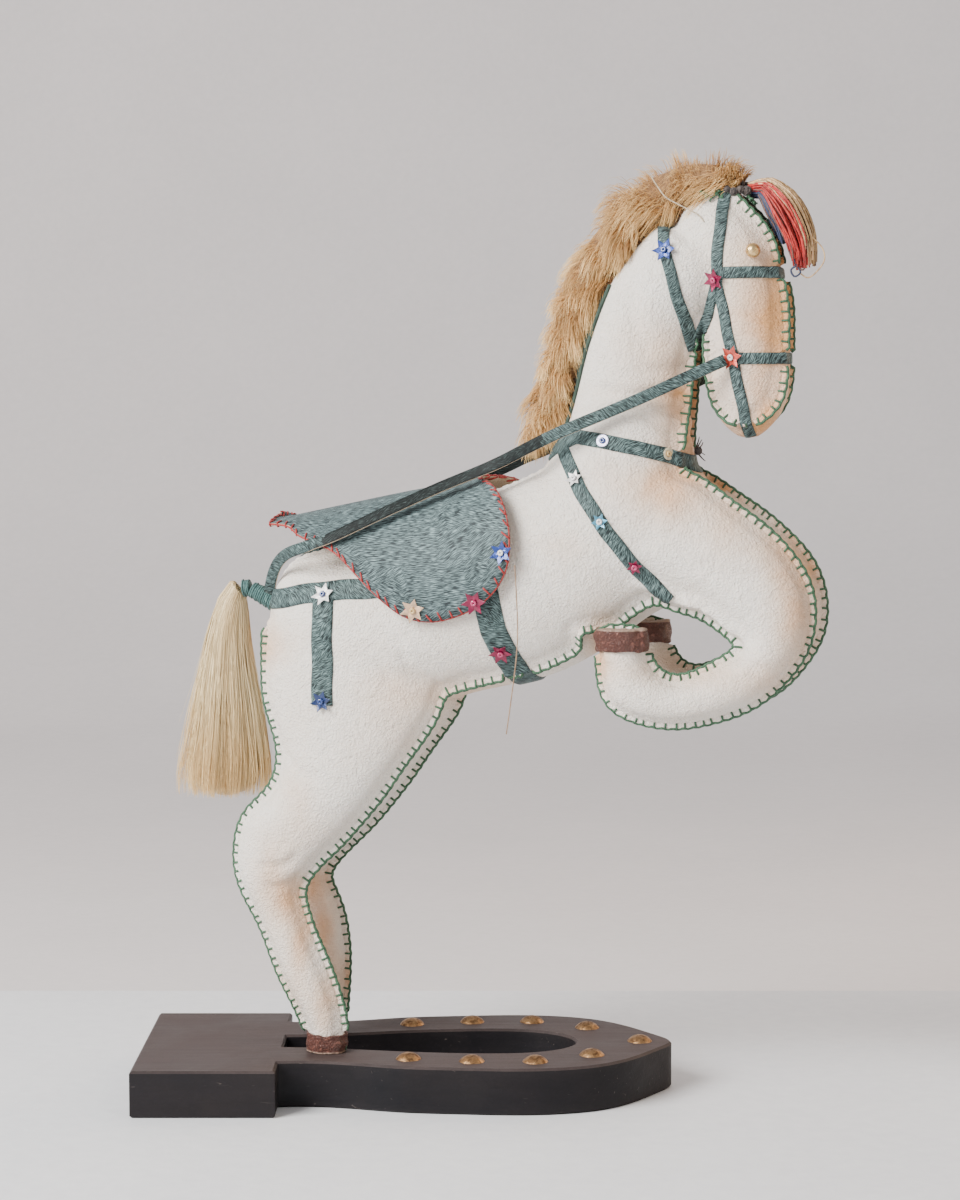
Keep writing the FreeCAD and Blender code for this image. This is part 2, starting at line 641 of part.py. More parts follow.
os.makedirs("parts", exist_ok=True)
for node, shape in all_pieces().items():
    print(node, shape.isValid(), len(shape.Solids), round(shape.Volume, 1))
    shape.exportStep("parts/%s.step" % node)
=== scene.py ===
"""Looks for a stuffed, blanket-stitched leather pony that rears on a horseshoe-shaped wooden base."""

import math
import random

import bmesh
import bpy
import numpy as np
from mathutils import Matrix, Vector
from mathutils.bvhtree import BVHTree
from mathutils.kdtree import KDTree


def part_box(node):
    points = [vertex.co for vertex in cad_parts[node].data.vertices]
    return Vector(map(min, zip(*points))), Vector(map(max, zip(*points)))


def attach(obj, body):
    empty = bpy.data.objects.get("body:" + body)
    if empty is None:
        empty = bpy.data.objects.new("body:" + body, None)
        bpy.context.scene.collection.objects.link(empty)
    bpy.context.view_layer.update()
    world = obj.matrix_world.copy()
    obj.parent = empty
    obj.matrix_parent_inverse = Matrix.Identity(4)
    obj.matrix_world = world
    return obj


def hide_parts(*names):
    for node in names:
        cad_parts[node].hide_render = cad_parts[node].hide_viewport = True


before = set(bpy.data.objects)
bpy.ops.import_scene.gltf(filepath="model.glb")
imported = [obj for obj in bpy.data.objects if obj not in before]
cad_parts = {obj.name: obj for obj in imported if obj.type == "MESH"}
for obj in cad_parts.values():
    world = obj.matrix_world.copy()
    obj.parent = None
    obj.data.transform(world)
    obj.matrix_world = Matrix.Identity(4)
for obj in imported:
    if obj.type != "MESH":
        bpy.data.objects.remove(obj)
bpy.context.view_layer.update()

MM = 0.001
FEET_X = -36.5
HEADING = math.radians(15.0)
SIDES = ((-1, "right"), (1, "left"))
FROM_SIDE = 120

# Camera, in millimetres and degrees
EYE = (31.5, -1206.0, 302.0)
EYE_PITCH = -4.18
LENS_HEIGHTS = 2.324

# Leather form and seams
VOXEL = 2.2 * MM
SEAM_Q = 17.2
FACE_SEAM_Q = 6.5
STITCH_PITCH = 4.1
FIN_HEIGHT = 2.7
FIN_UPRIGHT = 0.6
SEAM_STEP = 1.1
THREAD = 0.54
SWELL_CAP = 1.3 * MM
SWELL_FRAMES = 14

# Hair and thread counts
TAIL_HAIRS = 4200
MANE_HAIRS = 13000
TASSEL_COUNT = 520

WHITE_PARTS = ("side_panel_right", "side_panel_left", "face_gusset", "throat_gusset", "belly_gusset")
UNDER_LINE = [(-70, 205), (-14, 205), (60, 212), (112, 232), (132, 262), (136, 300), (141, 330), (158, 356),
              (171, 372), (173, 410)]


# ---- places ----

def to_row(u, q, z):
    """A point of the pony's own upright frame, in millimetres, as a row point in metres."""
    c, s = math.cos(HEADING), math.sin(HEADING)
    return Vector(((FEET_X + u * c + q * s) * MM, (-u * s + q * c) * MM, z * MM))


def to_row_dir(u, q, z):
    """A direction of the pony's own frame in the row frame."""
    c, s = math.cos(HEADING), math.sin(HEADING)
    return Vector((u * c + q * s, -u * s + q * c, z)).normalized()


def to_pony(points):
    """Row points in metres as (u, q, z) in millimetres, for a whole array."""
    p = np.asarray(points) / MM
    c, s = math.cos(HEADING), math.sin(HEADING)
    x, y = p[..., 0] - FEET_X, p[..., 1]
    return np.stack([x * c - y * s, x * s + y * c, p[..., 2]], axis=-1)


def row_array(points):
    """(u, q, z) rows in millimetres as row points in metres."""
    p = np.asarray(points, dtype=float)
    c, s = math.cos(HEADING), math.sin(HEADING)
    x, y = FEET_X + p[..., 0] * c + p[..., 1] * s, -p[..., 0] * s + p[..., 1] * c
    return np.stack([x, y, p[..., 2]], axis=-1) * MM


# ---- meshes ----

def linked(name, data):
    """A new object in the scene."""
    obj = bpy.data.objects.new(name, data)
    bpy.context.scene.collection.objects.link(obj)
    return obj


def add_mesh(name, points, faces, material=None, smooth=True, uvs=None):
    """A new object from row points in metres and face lists."""
    mesh = bpy.data.meshes.new(name)
    mesh.from_pydata([tuple(p) for p in points], [], faces)
    mesh.update()
    if smooth:
        mesh.polygons.foreach_set("use_smooth", [True] * len(mesh.polygons))
    if uvs is not None:
        layer = mesh.uv_layers.new(name="UVMap")
        loops = np.empty(len(mesh.loops), dtype=int)
        mesh.loops.foreach_get("vertex_index", loops)
        layer.data.foreach_set("uv", np.asarray(uvs, dtype=float)[loops].ravel())
    obj = linked(name, mesh)
    if material:
        mesh.materials.append(material)
    return obj


def vertex_array(mesh):
    """A mesh's vertex places as an array."""
    flat = np.empty(len(mesh.vertices) * 3)
    mesh.vertices.foreach_get("co", flat)
    return flat.reshape(-1, 3)


def normal_array(mesh):
    """A mesh's vertex normals as an array."""
    flat = np.empty(len(mesh.vertices) * 3)
    mesh.vertices.foreach_get("normal", flat)
    return flat.reshape(-1, 3)


def vertex_values(mesh, name, values):
    """A number at each vertex, for a material to read by its name."""
    mesh.attributes.new(name, "FLOAT", "POINT").data.foreach_set("value", values)


def unit(vectors):
    """The same directions, each one unit long."""
    return vectors / (np.linalg.norm(vectors, axis=-1, keepdims=True) + 1e-12)


def distances(points):
    """How far along a line each of its points is."""
    return np.concatenate([[0], np.cumsum(np.linalg.norm(np.diff(points, axis=0), axis=1))])


def read_at(at, known, rows):
    """Every column of the rows, read at places between the known ones."""
    return np.stack([np.interp(at, known, rows[:, k]) for k in range(rows.shape[1])], axis=-1)


def vertex_finder(points):
    """A quick search for the nearest of some points."""
    tree = KDTree(len(points))
    for i, p in enumerate(points):
        tree.insert(Vector(p), i)
    tree.balance()
    return tree


def evaluated(obj):
    """The object's mesh with its modifiers worked out."""
    return bpy.data.meshes.new_from_object(obj.evaluated_get(bpy.context.evaluated_depsgraph_get()))


def tube(path, radius, sides=6, taper=None):
    """(points, faces) of a round bar along a path, which may taper."""
    path = np.asarray(path, dtype=float)
    along = unit(np.gradient(path, axis=0))
    guide = np.array([0.0, 0.0, 1.0]) if abs(along[0][2]) < 0.9 else np.array([1.0, 0.0, 0.0])
    points, faces, side = [], [], np.cross(along[0], guide)
    for i, (centre, ahead) in enumerate(zip(path, along)):
        side = side - ahead * side.dot(ahead)
        side = unit(side)
        up = np.cross(ahead, side)
        r = radius if taper is None else radius * taper[i]
        for k in range(sides):
            t = 2 * math.pi * k / sides
            points.append(centre + (side * math.cos(t) + up * math.sin(t)) * r)
    for i in range(len(path) - 1):
        for k in range(sides):
            a, b = i * sides + k, i * sides + (k + 1) % sides
            faces.append((a, b, b + sides, a + sides))
    faces.append(tuple(range(sides))[::-1])
    last = (len(path) - 1) * sides
    faces.append(tuple(range(last, last + sides)))
    return points, faces


class Parts:
    """Many small forms gathered into one mesh."""

    def __init__(self):
        self.points, self.faces = [], []

    def add(self, points, faces):
        start = len(self.points)
        self.points.extend(points)
        self.faces.extend(tuple(start + i for i in face) for face in faces)

    def build(self, name, material, smooth=True):
        return add_mesh(name, self.points, self.faces, material, smooth)


# ---- materials ----

class Look:
    """A new material, with short ways to add nodes to it."""

    def __init__(self, name, source="Object"):
        self.material = bpy.data.materials.new(name)
        self.material.use_nodes = True
        self.tree = self.material.node_tree
        self.where = self.coords(source)

    def add(self, kind, **inputs):
        """A new node with some of its inputs set or linked."""
        node = self.tree.nodes.new("ShaderNode" + kind)
        for name, value in inputs.items():
            self.put(node.inputs[name], value)
        return node

    def put(self, socket, value):
        """Links an output to a socket, or sets the socket to a number or colour."""
        if isinstance(value, bpy.types.NodeSocket):
            self.tree.links.new(value, socket)
        elif isinstance(value, (int, float)) or socket.type != "RGBA":
            socket.default_value = value
        else:
            socket.default_value = (*value, 1)

    def shade(self, **inputs):
        """Sets or links the shader's inputs, whose names have _ for a space."""
        for name, value in inputs.items():
            self.put(self.tree.nodes["Principled BSDF"].inputs[name.replace("_", " ")], value)

    def coords(self, source):
        return self.add("TexCoord").outputs[source]

    def noise(self, scale, detail=4.0, distortion=0.0, where=None):
        return self.add("TexNoise", Scale=scale, Detail=detail, Roughness=0.55, Distortion=distortion,
                        Vector=where or self.where).outputs["Fac"]

    def cells(self, scale, where=None):
        return self.add("TexVoronoi", Scale=scale, Detail=4.0,
                        Vector=where or self.where).outputs["Distance"]

    def mapped(self, scale=(1, 1, 1), turn=0.0, shift=(0, 0, 0), where=None):
        """The coordinates stretched, turned and moved."""
        return self.add("Mapping", Scale=scale, Rotation=(0, 0, turn), Location=shift,
                        Vector=where or self.where).outputs["Vector"]

    def attribute(self, name):
        node = self.add("Attribute")
        node.attribute_name = name
        return node.outputs["Fac"]

    def ramp(self, value, stops):
        """A colour ramp from (place, colour) stops; a single number is a grey."""
        node = self.add("ValToRGB", Fac=value)
        while len(node.color_ramp.elements) < len(stops):
            node.color_ramp.elements.new(0.5)
        for element, (place, colour) in zip(node.color_ramp.elements, stops):
            element.position = place
            element.color = (colour, colour, colour, 1) if isinstance(colour, (int, float)) else (*colour,
                                                                                                  1)
        return node.outputs["Color"]

    def mix(self, factor, a, b, blend="MIX"):
        """A colour mix; the factor and the colours may be numbers, colours or outputs."""
        node = self.add("Mix")
        node.data_type = "RGBA"
        node.blend_type = blend
        for name, value in (("Factor", factor), ("A", a), ("B", b)):
            self.put(node.inputs[name], value)
        return node.outputs["Result"]

    def maths(self, operation, *values):
        node = self.add("Math")
        node.operation = operation
        for socket, value in zip(node.inputs, values):
            self.put(socket, value)
        return node.outputs[0]

    def bumps(self, *layers):
        """Several heights, each with its real depth in metres, one on top of another."""
        previous = None
        for height, depth in layers:
            node = self.add("Bump", Distance=depth, Height=height)
            if previous:
                self.put(node.inputs["Normal"], previous)
            previous = node.outputs["Normal"]
        self.shade(Normal=previous)


def white_leather():
    """Soft cream leather: pebble grain, drawn folds, and tan places from a vertex attribute, partly handling
    marks and partly painted warm shade.
    """
    look = Look("white_leather")
    pebble, fine, fold = look.cells(880), look.noise(2300, 3), look.noise(115, 3, 1.4)
    crease, cloud = look.noise(260, 5, 2.2), look.noise(34, 4, 0.5)
    lines = look.ramp(crease, [(0.44, 1.0), (0.5, 0.0), (0.56, 1.0)])
    # The tan spread here is partly real staining and partly painted warm shade.
    spread = look.maths("MULTIPLY", look.attribute("stain_and_painted_shade"), look.maths("MULTIPLY_ADD", cloud, 1.5, 0.2))
    base = look.mix(look.ramp(cloud, [(0.35, 0.0), (0.7, 1.0)]), (0.920, 0.888, 0.822),
                    (0.895, 0.855, 0.780))
    tinted = look.mix(spread, base, (0.74, 0.37, 0.145))
    pores = look.ramp(pebble, [(0.0, 1.0), (0.35, 0.99), (0.75, 0.90)])
    look.shade(Base_Color=look.mix(1.0, tinted, pores, "MULTIPLY"),
               Roughness=look.ramp(fine, [(0.3, 0.46), (0.7, 0.60)]), Specular_IOR_Level=0.42,
               Subsurface_Weight=0.06, Subsurface_Radius=(0.0012, 0.0008, 0.0005), Sheen_Weight=0.08)
    look.bumps((fold, 0.0011), (lines, 0.00006), (pebble, 0.00042), (fine, 0.00006))
    return look.material


def teal_leather(name, teal, dark, cover, angles, patches):
    """Leather brushed with teal and overpainted with short dark strokes; UVs are metres along and across."""
    look = Look(name, "UV")
    wander = look.noise(160, 1)
    strokes = []
    for i, angle in enumerate(angles):
        strayed = look.mix(0.0003, look.where, wander.node.outputs["Color"], "ADD")
        turned = look.mapped(turn=math.radians(angle), shift=(0.31 * i, 0.17 * i, 0), where=strayed)
        strokes.append(look.noise(1.0, 1.5, where=look.mapped((300, 3700, 1), where=turned)))
    patch = look.noise(patches, 2)
    both = strokes[0]
    for i, other in enumerate(strokes[1:]):
        level = 0.46 + 0.06 * i
        both = look.mix(look.ramp(patch, [(level, 0.0), (level + 0.03, 1.0)]), both, other)
    light = tuple(min(1.0, c * 2.1 + 0.015) for c in teal)
    low, high = cover - 0.045, cover + 0.03
    paint = look.ramp(both, [(low, dark), (high, teal), (min(high + 0.12, 0.98), light)])
    worn = look.ramp(wander, [(0.3, 0.80), (0.7, 1.12)])
    look.shade(Base_Color=look.mix(1.0, paint, worn, "MULTIPLY"),
               Roughness=look.ramp(both, [(0.3, 0.50), (0.7, 0.66)]), Specular_IOR_Level=0.16)
    look.bumps((both, 0.00008), (look.cells(1500, look.coords("Object")), 0.00006))
    return look.material


def plain_fibre(name, colours, scale, rough=0.75, stretch=(1, 1, 0.12), depth=0.00008):
    """Thread, hair or yarn: colour varied in long streaks."""
    look = Look(name)
    streak, broad = look.noise(scale, 3, where=look.mapped(stretch)), look.noise(scale / 7, 2)
    stops = [(0.30 + 0.4 * i / (len(colours) - 1), c) for i, c in enumerate(colours)]
    tone = look.ramp(broad, [(0.3, 0.80), (0.7, 1.08)])
    look.shade(Base_Color=look.mix(1.0, look.ramp(streak, stops), tone, "MULTIPLY"), Roughness=rough,
               Sheen_Weight=0.12)
    look.bumps((streak, depth))
    return look.material


def hair_material(name, root, middle, tip, rough):
    """Hair shaded from root to tip by the 'along' attribute, and from lock to lock by 'lock'."""
    look = Look(name)
    colour = look.ramp(look.attribute("along"), [(0.0, root), (0.55, middle), (1.0, tip)])
    tone = look.ramp(look.attribute("lock"),
                     [(0.0, (0.66, 0.58, 0.48)), (0.5, 1.0), (1.0, (1.30, 1.42, 1.60))])
    look.shade(Base_Color=look.mix(1.0, colour, tone, "MULTIPLY"), Specular_IOR_Level=0.4,
               Sheen_Weight=0.15,
               Roughness=look.ramp(look.noise(1500, 2), [(0.3, rough - 0.08), (0.7, rough + 0.15)]))
    return look.material


def brown_leather():
    """Wrinkled red-brown strip leather."""
    look = Look("brown_leather")
    wrinkle = look.noise(420, 6, 2.5)
    lines = look.ramp(wrinkle, [(0.42, 1.0), (0.5, 0.0), (0.58, 1.0)])
    colour = look.ramp(wrinkle,
                       [(0.25, (0.045, 0.013, 0.008)), (0.55, (0.115, 0.035, 0.023)),
                        (0.8, (0.26, 0.11, 0.078))])
    edge = look.ramp(look.attribute("pale"), [(0.25, 0.0), (0.6, 0.75)])
    look.shade(Base_Color=look.mix(edge, colour, (0.52, 0.36, 0.27)),
               Roughness=look.ramp(lines, [(0.0, 0.62), (1.0, 0.38)]))
    look.bumps((lines, 0.00035), (look.cells(1300), 0.00012))
    return look.material


def dark_wood():
    """Board painted near-black and rubbed to brown, lighter brown on upward faces, with scratches and worn
    edges.
    """
    look = Look("dark_wood")
    grain = look.noise(1.0, 6, 0.6, look.mapped((22, 260, 260)))
    cloud, speck = look.noise(30, 5, 0.4), look.noise(900, 3)
    scratch = look.noise(1.0, 2, 1.5, look.mapped((60, 900, 500), 0.22))
    marks = look.ramp(scratch, [(0.70, 0.0), (0.735, 1.0)])
    geometry = look.add("NewGeometry")
    split = look.add("SeparateXYZ", Vector=geometry.outputs["Normal"])
    # Faces that point up take a lighter brown than the near-black sides.
    top = look.ramp(split.outputs["Z"], [(0.2, 0.0), (0.95, 1.0)])
    side = look.ramp(cloud, [(0.3, (0.003, 0.003, 0.005)), (0.7, (0.008, 0.006, 0.007))])
    upward_brown = look.ramp(cloud, [(0.3, (0.034, 0.024, 0.023)), (0.7, (0.056, 0.040, 0.038))])
    colour = look.mix(top, side, upward_brown)
    for value, low, high in ((grain, (0.3, 0.82), (0.7, 1.12)), (speck, (0.35, 0.90), (0.75, 1.25))):
        colour = look.mix(1.0, colour, look.ramp(value, [low, high]), "MULTIPLY")
    edge = look.ramp(geometry.outputs["Pointiness"], [(0.505, 0.0), (0.56, 1.0)])
    for value, share, worn in ((marks, 0.25, (0.21, 0.17, 0.15)), (edge, 0.05, (0.13, 0.10, 0.088))):
        colour = look.mix(look.maths("MULTIPLY_ADD", value, share, 0.0), colour, worn)
    look.shade(Base_Color=colour, Roughness=look.ramp(cloud, [(0.3, 0.42), (0.7, 0.62)]),
               Specular_IOR_Level=0.22)
    look.bumps((grain, 0.00022), (speck, 0.00005), (marks, 0.00006))
    return look.material


def metal(name, colour, dark, rough, spots=500.0):
    """Aged metal with darker pits."""
    look = Look(name)
    spot = look.noise(spots, 4, 0.6)
    look.shade(Base_Color=look.ramp(spot, [(0.35, dark), (0.62, colour)]), Metallic=1.0,
               Roughness=look.ramp(spot, [(0.3, rough + 0.3), (0.65, rough)]))
    look.bumps((spot, 0.00022), (look.noise(spots * 4, 2), 0.00004))
    return look.material


def sequin_material(name, colour, metallic):
    """Foil-backed plastic with a clear coat and a faint stamped grain."""
    look = Look(name)
    cell, cloud = look.cells(1700), look.noise(420, 2)
    shade = tuple(c * 0.55 for c in colour)
    look.shade(Base_Color=look.ramp(cloud, [(0.3, shade), (0.62, colour)]), Metallic=metallic,
               Roughness=look.ramp(cell, [(0.0, 0.20), (0.7, 0.34)]), Coat_Weight=0.6, Coat_Roughness=0.12)
    look.bumps((cell, 0.00005), (cloud, 0.00018))
    return look.material


def seed_glass(name, colour):
    """Small glass bead with a pearly lustre."""
    look = Look(name)
    cloud = look.noise(900, 2)
    look.shade(Base_Color=look.ramp(cloud, [(0.3, tuple(c * 0.8 for c in colour)), (0.7, colour)]),
               Roughness=0.12, Coat_Weight=0.8)
    look.bumps((cloud, 0.00004))
    return look.material


# ---- camera ----

camera = linked("camera", bpy.data.cameras.new("camera"))
camera.location = Vector(EYE) * MM
camera.rotation_euler = (math.radians(90 + EYE_PITCH), 0, 0)
camera.data.sensor_fit = "VERTICAL"
camera.data.sensor_height = 24
camera.data.lens = 24 * LENS_HEIGHTS
camera.data.clip_start = 0.01
bpy.context.scene.camera = camera


# ---- the loose thread below the saddle cloth ----

def curve_piece(name, points, radius, material, body="root"):
    """A round thread on a smooth curve through a few control points, in the pony's frame."""
    curve = bpy.data.curves.new(name, "CURVE")
    curve.dimensions = "3D"
    curve.bevel_depth = radius
    curve.bevel_resolution = 2
    curve.resolution_u = 12
    spline = curve.splines.new("NURBS")
    spline.points.add(len(points) - 1)
    for point, (u, q, z) in zip(spline.points, points):
        point.co = (*to_row(u, q, z), 1)
    spline.order_u = 3
    spline.use_endpoint_u = True
    obj = linked(name, curve)
    curve.materials.append(material)
    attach(obj, body)
    return obj


GREEN_THREAD = plain_fibre("green_thread",
                           [(0.008, 0.020, 0.014), (0.020, 0.045, 0.030), (0.045, 0.080, 0.055)], 2200)
LOOSE_LINE = [(96.4, -42.2, 233), (97.2, -42.4, 222), (97.9, -42, 202), (95.5, -41.5, 182),
              (92.6, -41, 163)]
LOOSE_FIBRE = plain_fibre("loose_fibre", [(0.20, 0.11, 0.06), (0.38, 0.24, 0.14)], 2200)
thread_piece = curve_piece("loose_thread_piece", LOOSE_LINE, 0.25 * MM, LOOSE_FIBRE)
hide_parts("loose_thread")


# ---- the stuffed body ----

def node_mesh(name):
    return bpy.data.objects[name].data


def tree_of(points, faces):
    return BVHTree.FromPolygons([tuple(p) for p in points], faces)


def remeshed(names, voxel):
    """One clean skin round several nodes."""
    bm = bmesh.new()
    for name in names:
        bm.from_mesh(node_mesh(name))
    mesh = bpy.data.meshes.new("joined")
    bm.to_mesh(mesh)
    bm.free()
    obj = linked("joined", mesh)
    skin = obj.modifiers.new("skin", "REMESH")
    skin.mode = "VOXEL"
    skin.voxel_size = voxel
    skin.adaptivity = 0
    result = evaluated(obj)
    bpy.data.objects.remove(obj)
    return result


def keep_largest(mesh):
    """Drops every part of a mesh but the one with the most vertices."""
    bm = bmesh.new()
    bm.from_mesh(mesh)
    bm.verts.ensure_lookup_table()
    seen, best = set(), []
    for vert in bm.verts:
        if vert.index in seen:
            continue
        group, stack = [], [vert]
        seen.add(vert.index)
        while stack:
            here = stack.pop()
            group.append(here)
            for edge in here.link_edges:
                other = edge.other_vert(here)
                if other.index not in seen:
                    seen.add(other.index)
                    stack.append(other)
        if len(group) > len(best):
            best = group
    keep = set(v.index for v in best)
    bmesh.ops.delete(bm, geom=[v for v in bm.verts if v.index not in keep], context="VERTS")
    bm.to_mesh(mesh)
    bm.free()


def table(x, pairs):
    return np.interp(x, [a for a, _ in pairs], [b for _, b in pairs])


def inside(outline, u, z):
    """Which (u, z) points lie inside a closed outline."""
    result = np.zeros(np.shape(u), dtype=bool)
    for (u0, z0), (u1, z1) in zip(outline, outline[1:] + outline[:1]):
        if z0 != z1:
            result ^= ((z0 > z) != (z1 > z)) & (u < (u1 - u0) * (z - z0) / (z1 - z0) + u0)
    return result


UNDER = [(-90, -20)] + [(-90, 205)] + UNDER_LINE[1:] + [(260, 410), (260, -20)]


def seam_q(u, z):
    """How far from the middle plane the long seams run."""
    trunk = table(z, [(255, SEAM_Q), (300, FACE_SEAM_Q)])
    hoof = table(u, [(122, 24.6), (150, 23.4), (170, 21.3), (190, 18.8), (206, SEAM_Q)])
    ease = np.clip((206.6 - z) / 12, 0, 1)
    ease = ease * ease * (3 - 2 * ease)
    share = np.where(u < 175, z < 206.6, ease) * (u > 118)
    return trunk * (1 - share) + hoof * share


def seam_gap(p):
    """Below zero on the gusset between the side panels, above zero on the panels."""
    return np.where(inside(UNDER, p[:, 0], p[:, 2]), np.abs(p[:, 1]) - seam_q(p[:, 0], p[:, 2]), 20.0)


def contour(points, faces, values, allowed):
    """Chains of points where the values cross zero."""
    crossings, links = {}, {}
    for face in faces:
        cut = []
        for i in range(len(face)):
            a, b = face[i], face[(i + 1) % len(face)]
            if (values[a] < 0) != (values[b] < 0) and allowed[a] and allowed[b]:
                key = (min(a, b), max(a, b))
                if key not in crossings:
                    t = values[a] / (values[a] - values[b])
                    crossings[key] = points[a] * (1 - t) + points[b] * t
                cut.append(key)
        if len(cut) == 2:
            links.setdefault(cut[0], []).append(cut[1])
            links.setdefault(cut[1], []).append(cut[0])
    chains, used = [], set()
    starts = [k for k in links if len(links[k]) == 1] + list(links)
    for start in starts:
        if start in used:
            continue
        chain, here = [], start
        while here is not None:
            used.add(here)
            chain.append(crossings[here])
            here = next((k for k in links[here] if k not in used), None)
        if len(links[start]) == 2 and len(chain) > 8:
            chain.append(chain[0])
        chains.append(np.array(chain))
    return chains


def spaced(chain, step):
    """The same line with points an equal distance apart."""
    far = distances(chain)
    count = max(int(far[-1] / step), 2)
    at = np.linspace(0, far[-1], count + 1)
    return read_at(at, far, chain)


def eased(values, times):
    """A line smoothed along itself, with its two ends kept."""
    values = values.copy()
    for _ in range(times):
        values[1:-1] = 0.25 * values[:-2] + 0.5 * values[1:-1] + 0.25 * values[2:]
    return values


def seam_lines(points, faces):
    """The blanket-stitched seams as even lines in millimetres of the pony's frame."""
    inside_under = inside(UNDER, points[:, 0], points[:, 2])
    lines = []
    for side in (-1, 1):
        on_side = points[:, 1] * side > 2
        lines += contour(points, faces, np.abs(points[:, 1]) - seam_q(points[:, 0], points[:, 2]),
                         on_side & inside_under)
    back = ~inside_under & (points[:, 2] > 195)
    lines += contour(points, faces, points[:, 1], back)
    result = []
    for line in lines:
        if len(line) > 10 and np.linalg.norm(np.diff(line, axis=0), axis=1).sum() > 18:
            result.append(spaced(eased(spaced(line, SEAM_STEP), 14), SEAM_STEP))
    return result


def near_seam(points, lines):
    """Distance to the nearest seam, and how far along it that place is."""
    tree = vertex_finder(np.concatenate(lines))
    along = np.concatenate([np.arange(len(line)) * SEAM_STEP for line in lines])
    found = [tree.find(Vector(p)) for p in points]
    return np.array([f[2] for f in found]), along[[f[1] for f in found]]


def face_lists(mesh):
    return [tuple(p.vertices) for p in mesh.polygons]


def stuff(mesh):
    """Cloth simulation that lets the leather swell between its seams."""
    start = vertex_array(mesh)
    pony = to_pony(start)
    faces = face_lists(mesh)
    distance, _ = near_seam(pony, seam_lines(pony, faces))
    obj = linked("swelling", mesh)
    bpy.context.view_layer.objects.active = obj
    group = obj.vertex_groups.new(name="held")
    held = (distance < 2.6) | (pony[:, 2] < 30)
    group.add([int(i) for i in np.nonzero(held)[0]], 1.0, "REPLACE")
    cloth = obj.modifiers.new("swell", "CLOTH")
    settings = cloth.settings
    settings.quality = 4
    settings.mass = 0.3
    settings.tension_stiffness = settings.compression_stiffness = 12
    settings.shear_stiffness = 8
    settings.bending_stiffness = 1.5
    settings.vertex_group_mass = "held"
    settings.use_pressure = True
    settings.uniform_pressure_force = 4
    settings.effector_weights.gravity = 0
    cloth.collision_settings.use_collision = False
    for step in range(1, SWELL_FRAMES + 1):
        bpy.context.scene.frame_set(step)
    swollen = evaluated(obj)
    end = vertex_array(swollen)
    bpy.context.scene.frame_set(1)
    bpy.data.objects.remove(obj)
    move = end - start
    size = np.linalg.norm(move, axis=1)[:, None] + 1e-12
    mesh.vertices.foreach_set("co", (start + move * np.minimum(1, SWELL_CAP / size)).ravel())
    mesh.update()


def softened(mesh, times, factor=0.5):
    """A light smoothing of every vertex."""
    bm = bmesh.new()
    bm.from_mesh(mesh)
    for _ in range(times):
        bmesh.ops.smooth_vert(bm, verts=bm.verts, factor=factor, use_axis_x=True, use_axis_y=True,
                              use_axis_z=True)
    bm.to_mesh(mesh)
    bm.free()


def subdivided(mesh, levels=1):
    obj = linked("finer", mesh)
    finer = obj.modifiers.new("finer", "SUBSURF")
    finer.levels = levels
    result = evaluated(obj)
    bpy.data.objects.remove(obj)
    return result


def blob(points, centre, size, strength):
    """A soft round patch of strength about a place, for stains; sizes are along u, q and z."""
    offset = (points - np.array(centre)) / np.array(size)
    return strength * np.exp(-(offset ** 2).sum(axis=1))


def staining_and_painted_shade(p):
    """Where the white leather is coloured tan: partly handling marks near the seams, partly painted warm
    shade on the face front, throat, chest and leg fronts that turn away from the window light.
    """
    value = 0.08 * np.ones(len(p))
    for centre, size, strength in (
            ((204, 0, 338), (14, 30, 34), 0.62), ((190, 0, 352), (15, 30, 26), 0.26),
            ((200, 0, 300), (13, 30, 20), 0.62),
            ((190, 0, 320), (13, 30, 30), 0.24), ((163, 0, 296), (12, 30, 28), 0.58),
            ((146, 0, 322), (14, 30, 12), 0.22),
            ((148, 0, 303), (20, 30, 6), 0.20), ((158, 0, 262), (15, 40, 12), 0.80),
            ((136, 0, 268), (14, 40, 9), 0.25),
            ((180, 0, 250), (10, 40, 16), 0.42), ((208, 0, 222), (9, 40, 26), 0.80),
            ((198, 0, 240), (9, 40, 14), 0.35),
            ((128, 0, 196), (7, 40, 14), 0.72), ((160, 0, 190), (26, 40, 7), 0.45),
            ((196, 0, 186), (12, 40, 9), 0.35),
            ((116, 0, 240), (12, 40, 6), 0.18), ((-14, 0, 96), (9, 40, 20), 0.45),
            ((-2, 0, 130), (9, 40, 16), 0.32),
            ((-8, 0, 46), (18, 40, 12), 0.24), ((62, 0, 176), (30, 60, 9), 0.34),
            ((-16, 0, 196), (14, 40, 10), 0.28),
            ((-28, 0, 190), (12, 40, 18), 0.28), ((-9, 0, 86), (5, 40, 9), 0.45),
            ((-3, 0, 68), (5, 40, 14), 0.55),
            ((7, 0, 42), (5, 40, 14), 0.50), ((38, 0, 160), (14, 40, 16), 0.20),
            ((36, 0, 184), (12, 40, 6), 0.16)):
        value += blob(p, centre, size, strength)
    # The face-front gusset gets extra tan: painted warm shade where it turns away from the window light.
    gusset = (seam_gap(p) < 0) & (p[:, 2] > 262)
    return np.clip(1.3 * value + 0.35 * gusset, 0, 0.95)


def split_hide(points, normals, faces, stain_and_painted_shade, groups):
    """One object for each leather piece, with the normals of the whole hide kept."""
    pony = to_pony(points)
    centre = np.array([pony[list(face)].mean(axis=0) for face in faces])
    for name, chosen in groups(centre).items():
        picked = [faces[i] for i in np.nonzero(chosen)[0]]
        used = sorted(set(i for face in picked for i in face))
        place = {old: new for new, old in enumerate(used)}
        obj = add_mesh(name + "_hide", points[used], [tuple(place[i] for i in face) for face in picked],
                       WHITE)
        vertex_values(obj.data, "stain_and_painted_shade", stain_and_painted_shade[used])
        obj.data.normals_split_custom_set_from_vertices([tuple(n) for n in normals[used]])
        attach(obj, "root")
        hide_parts(name)


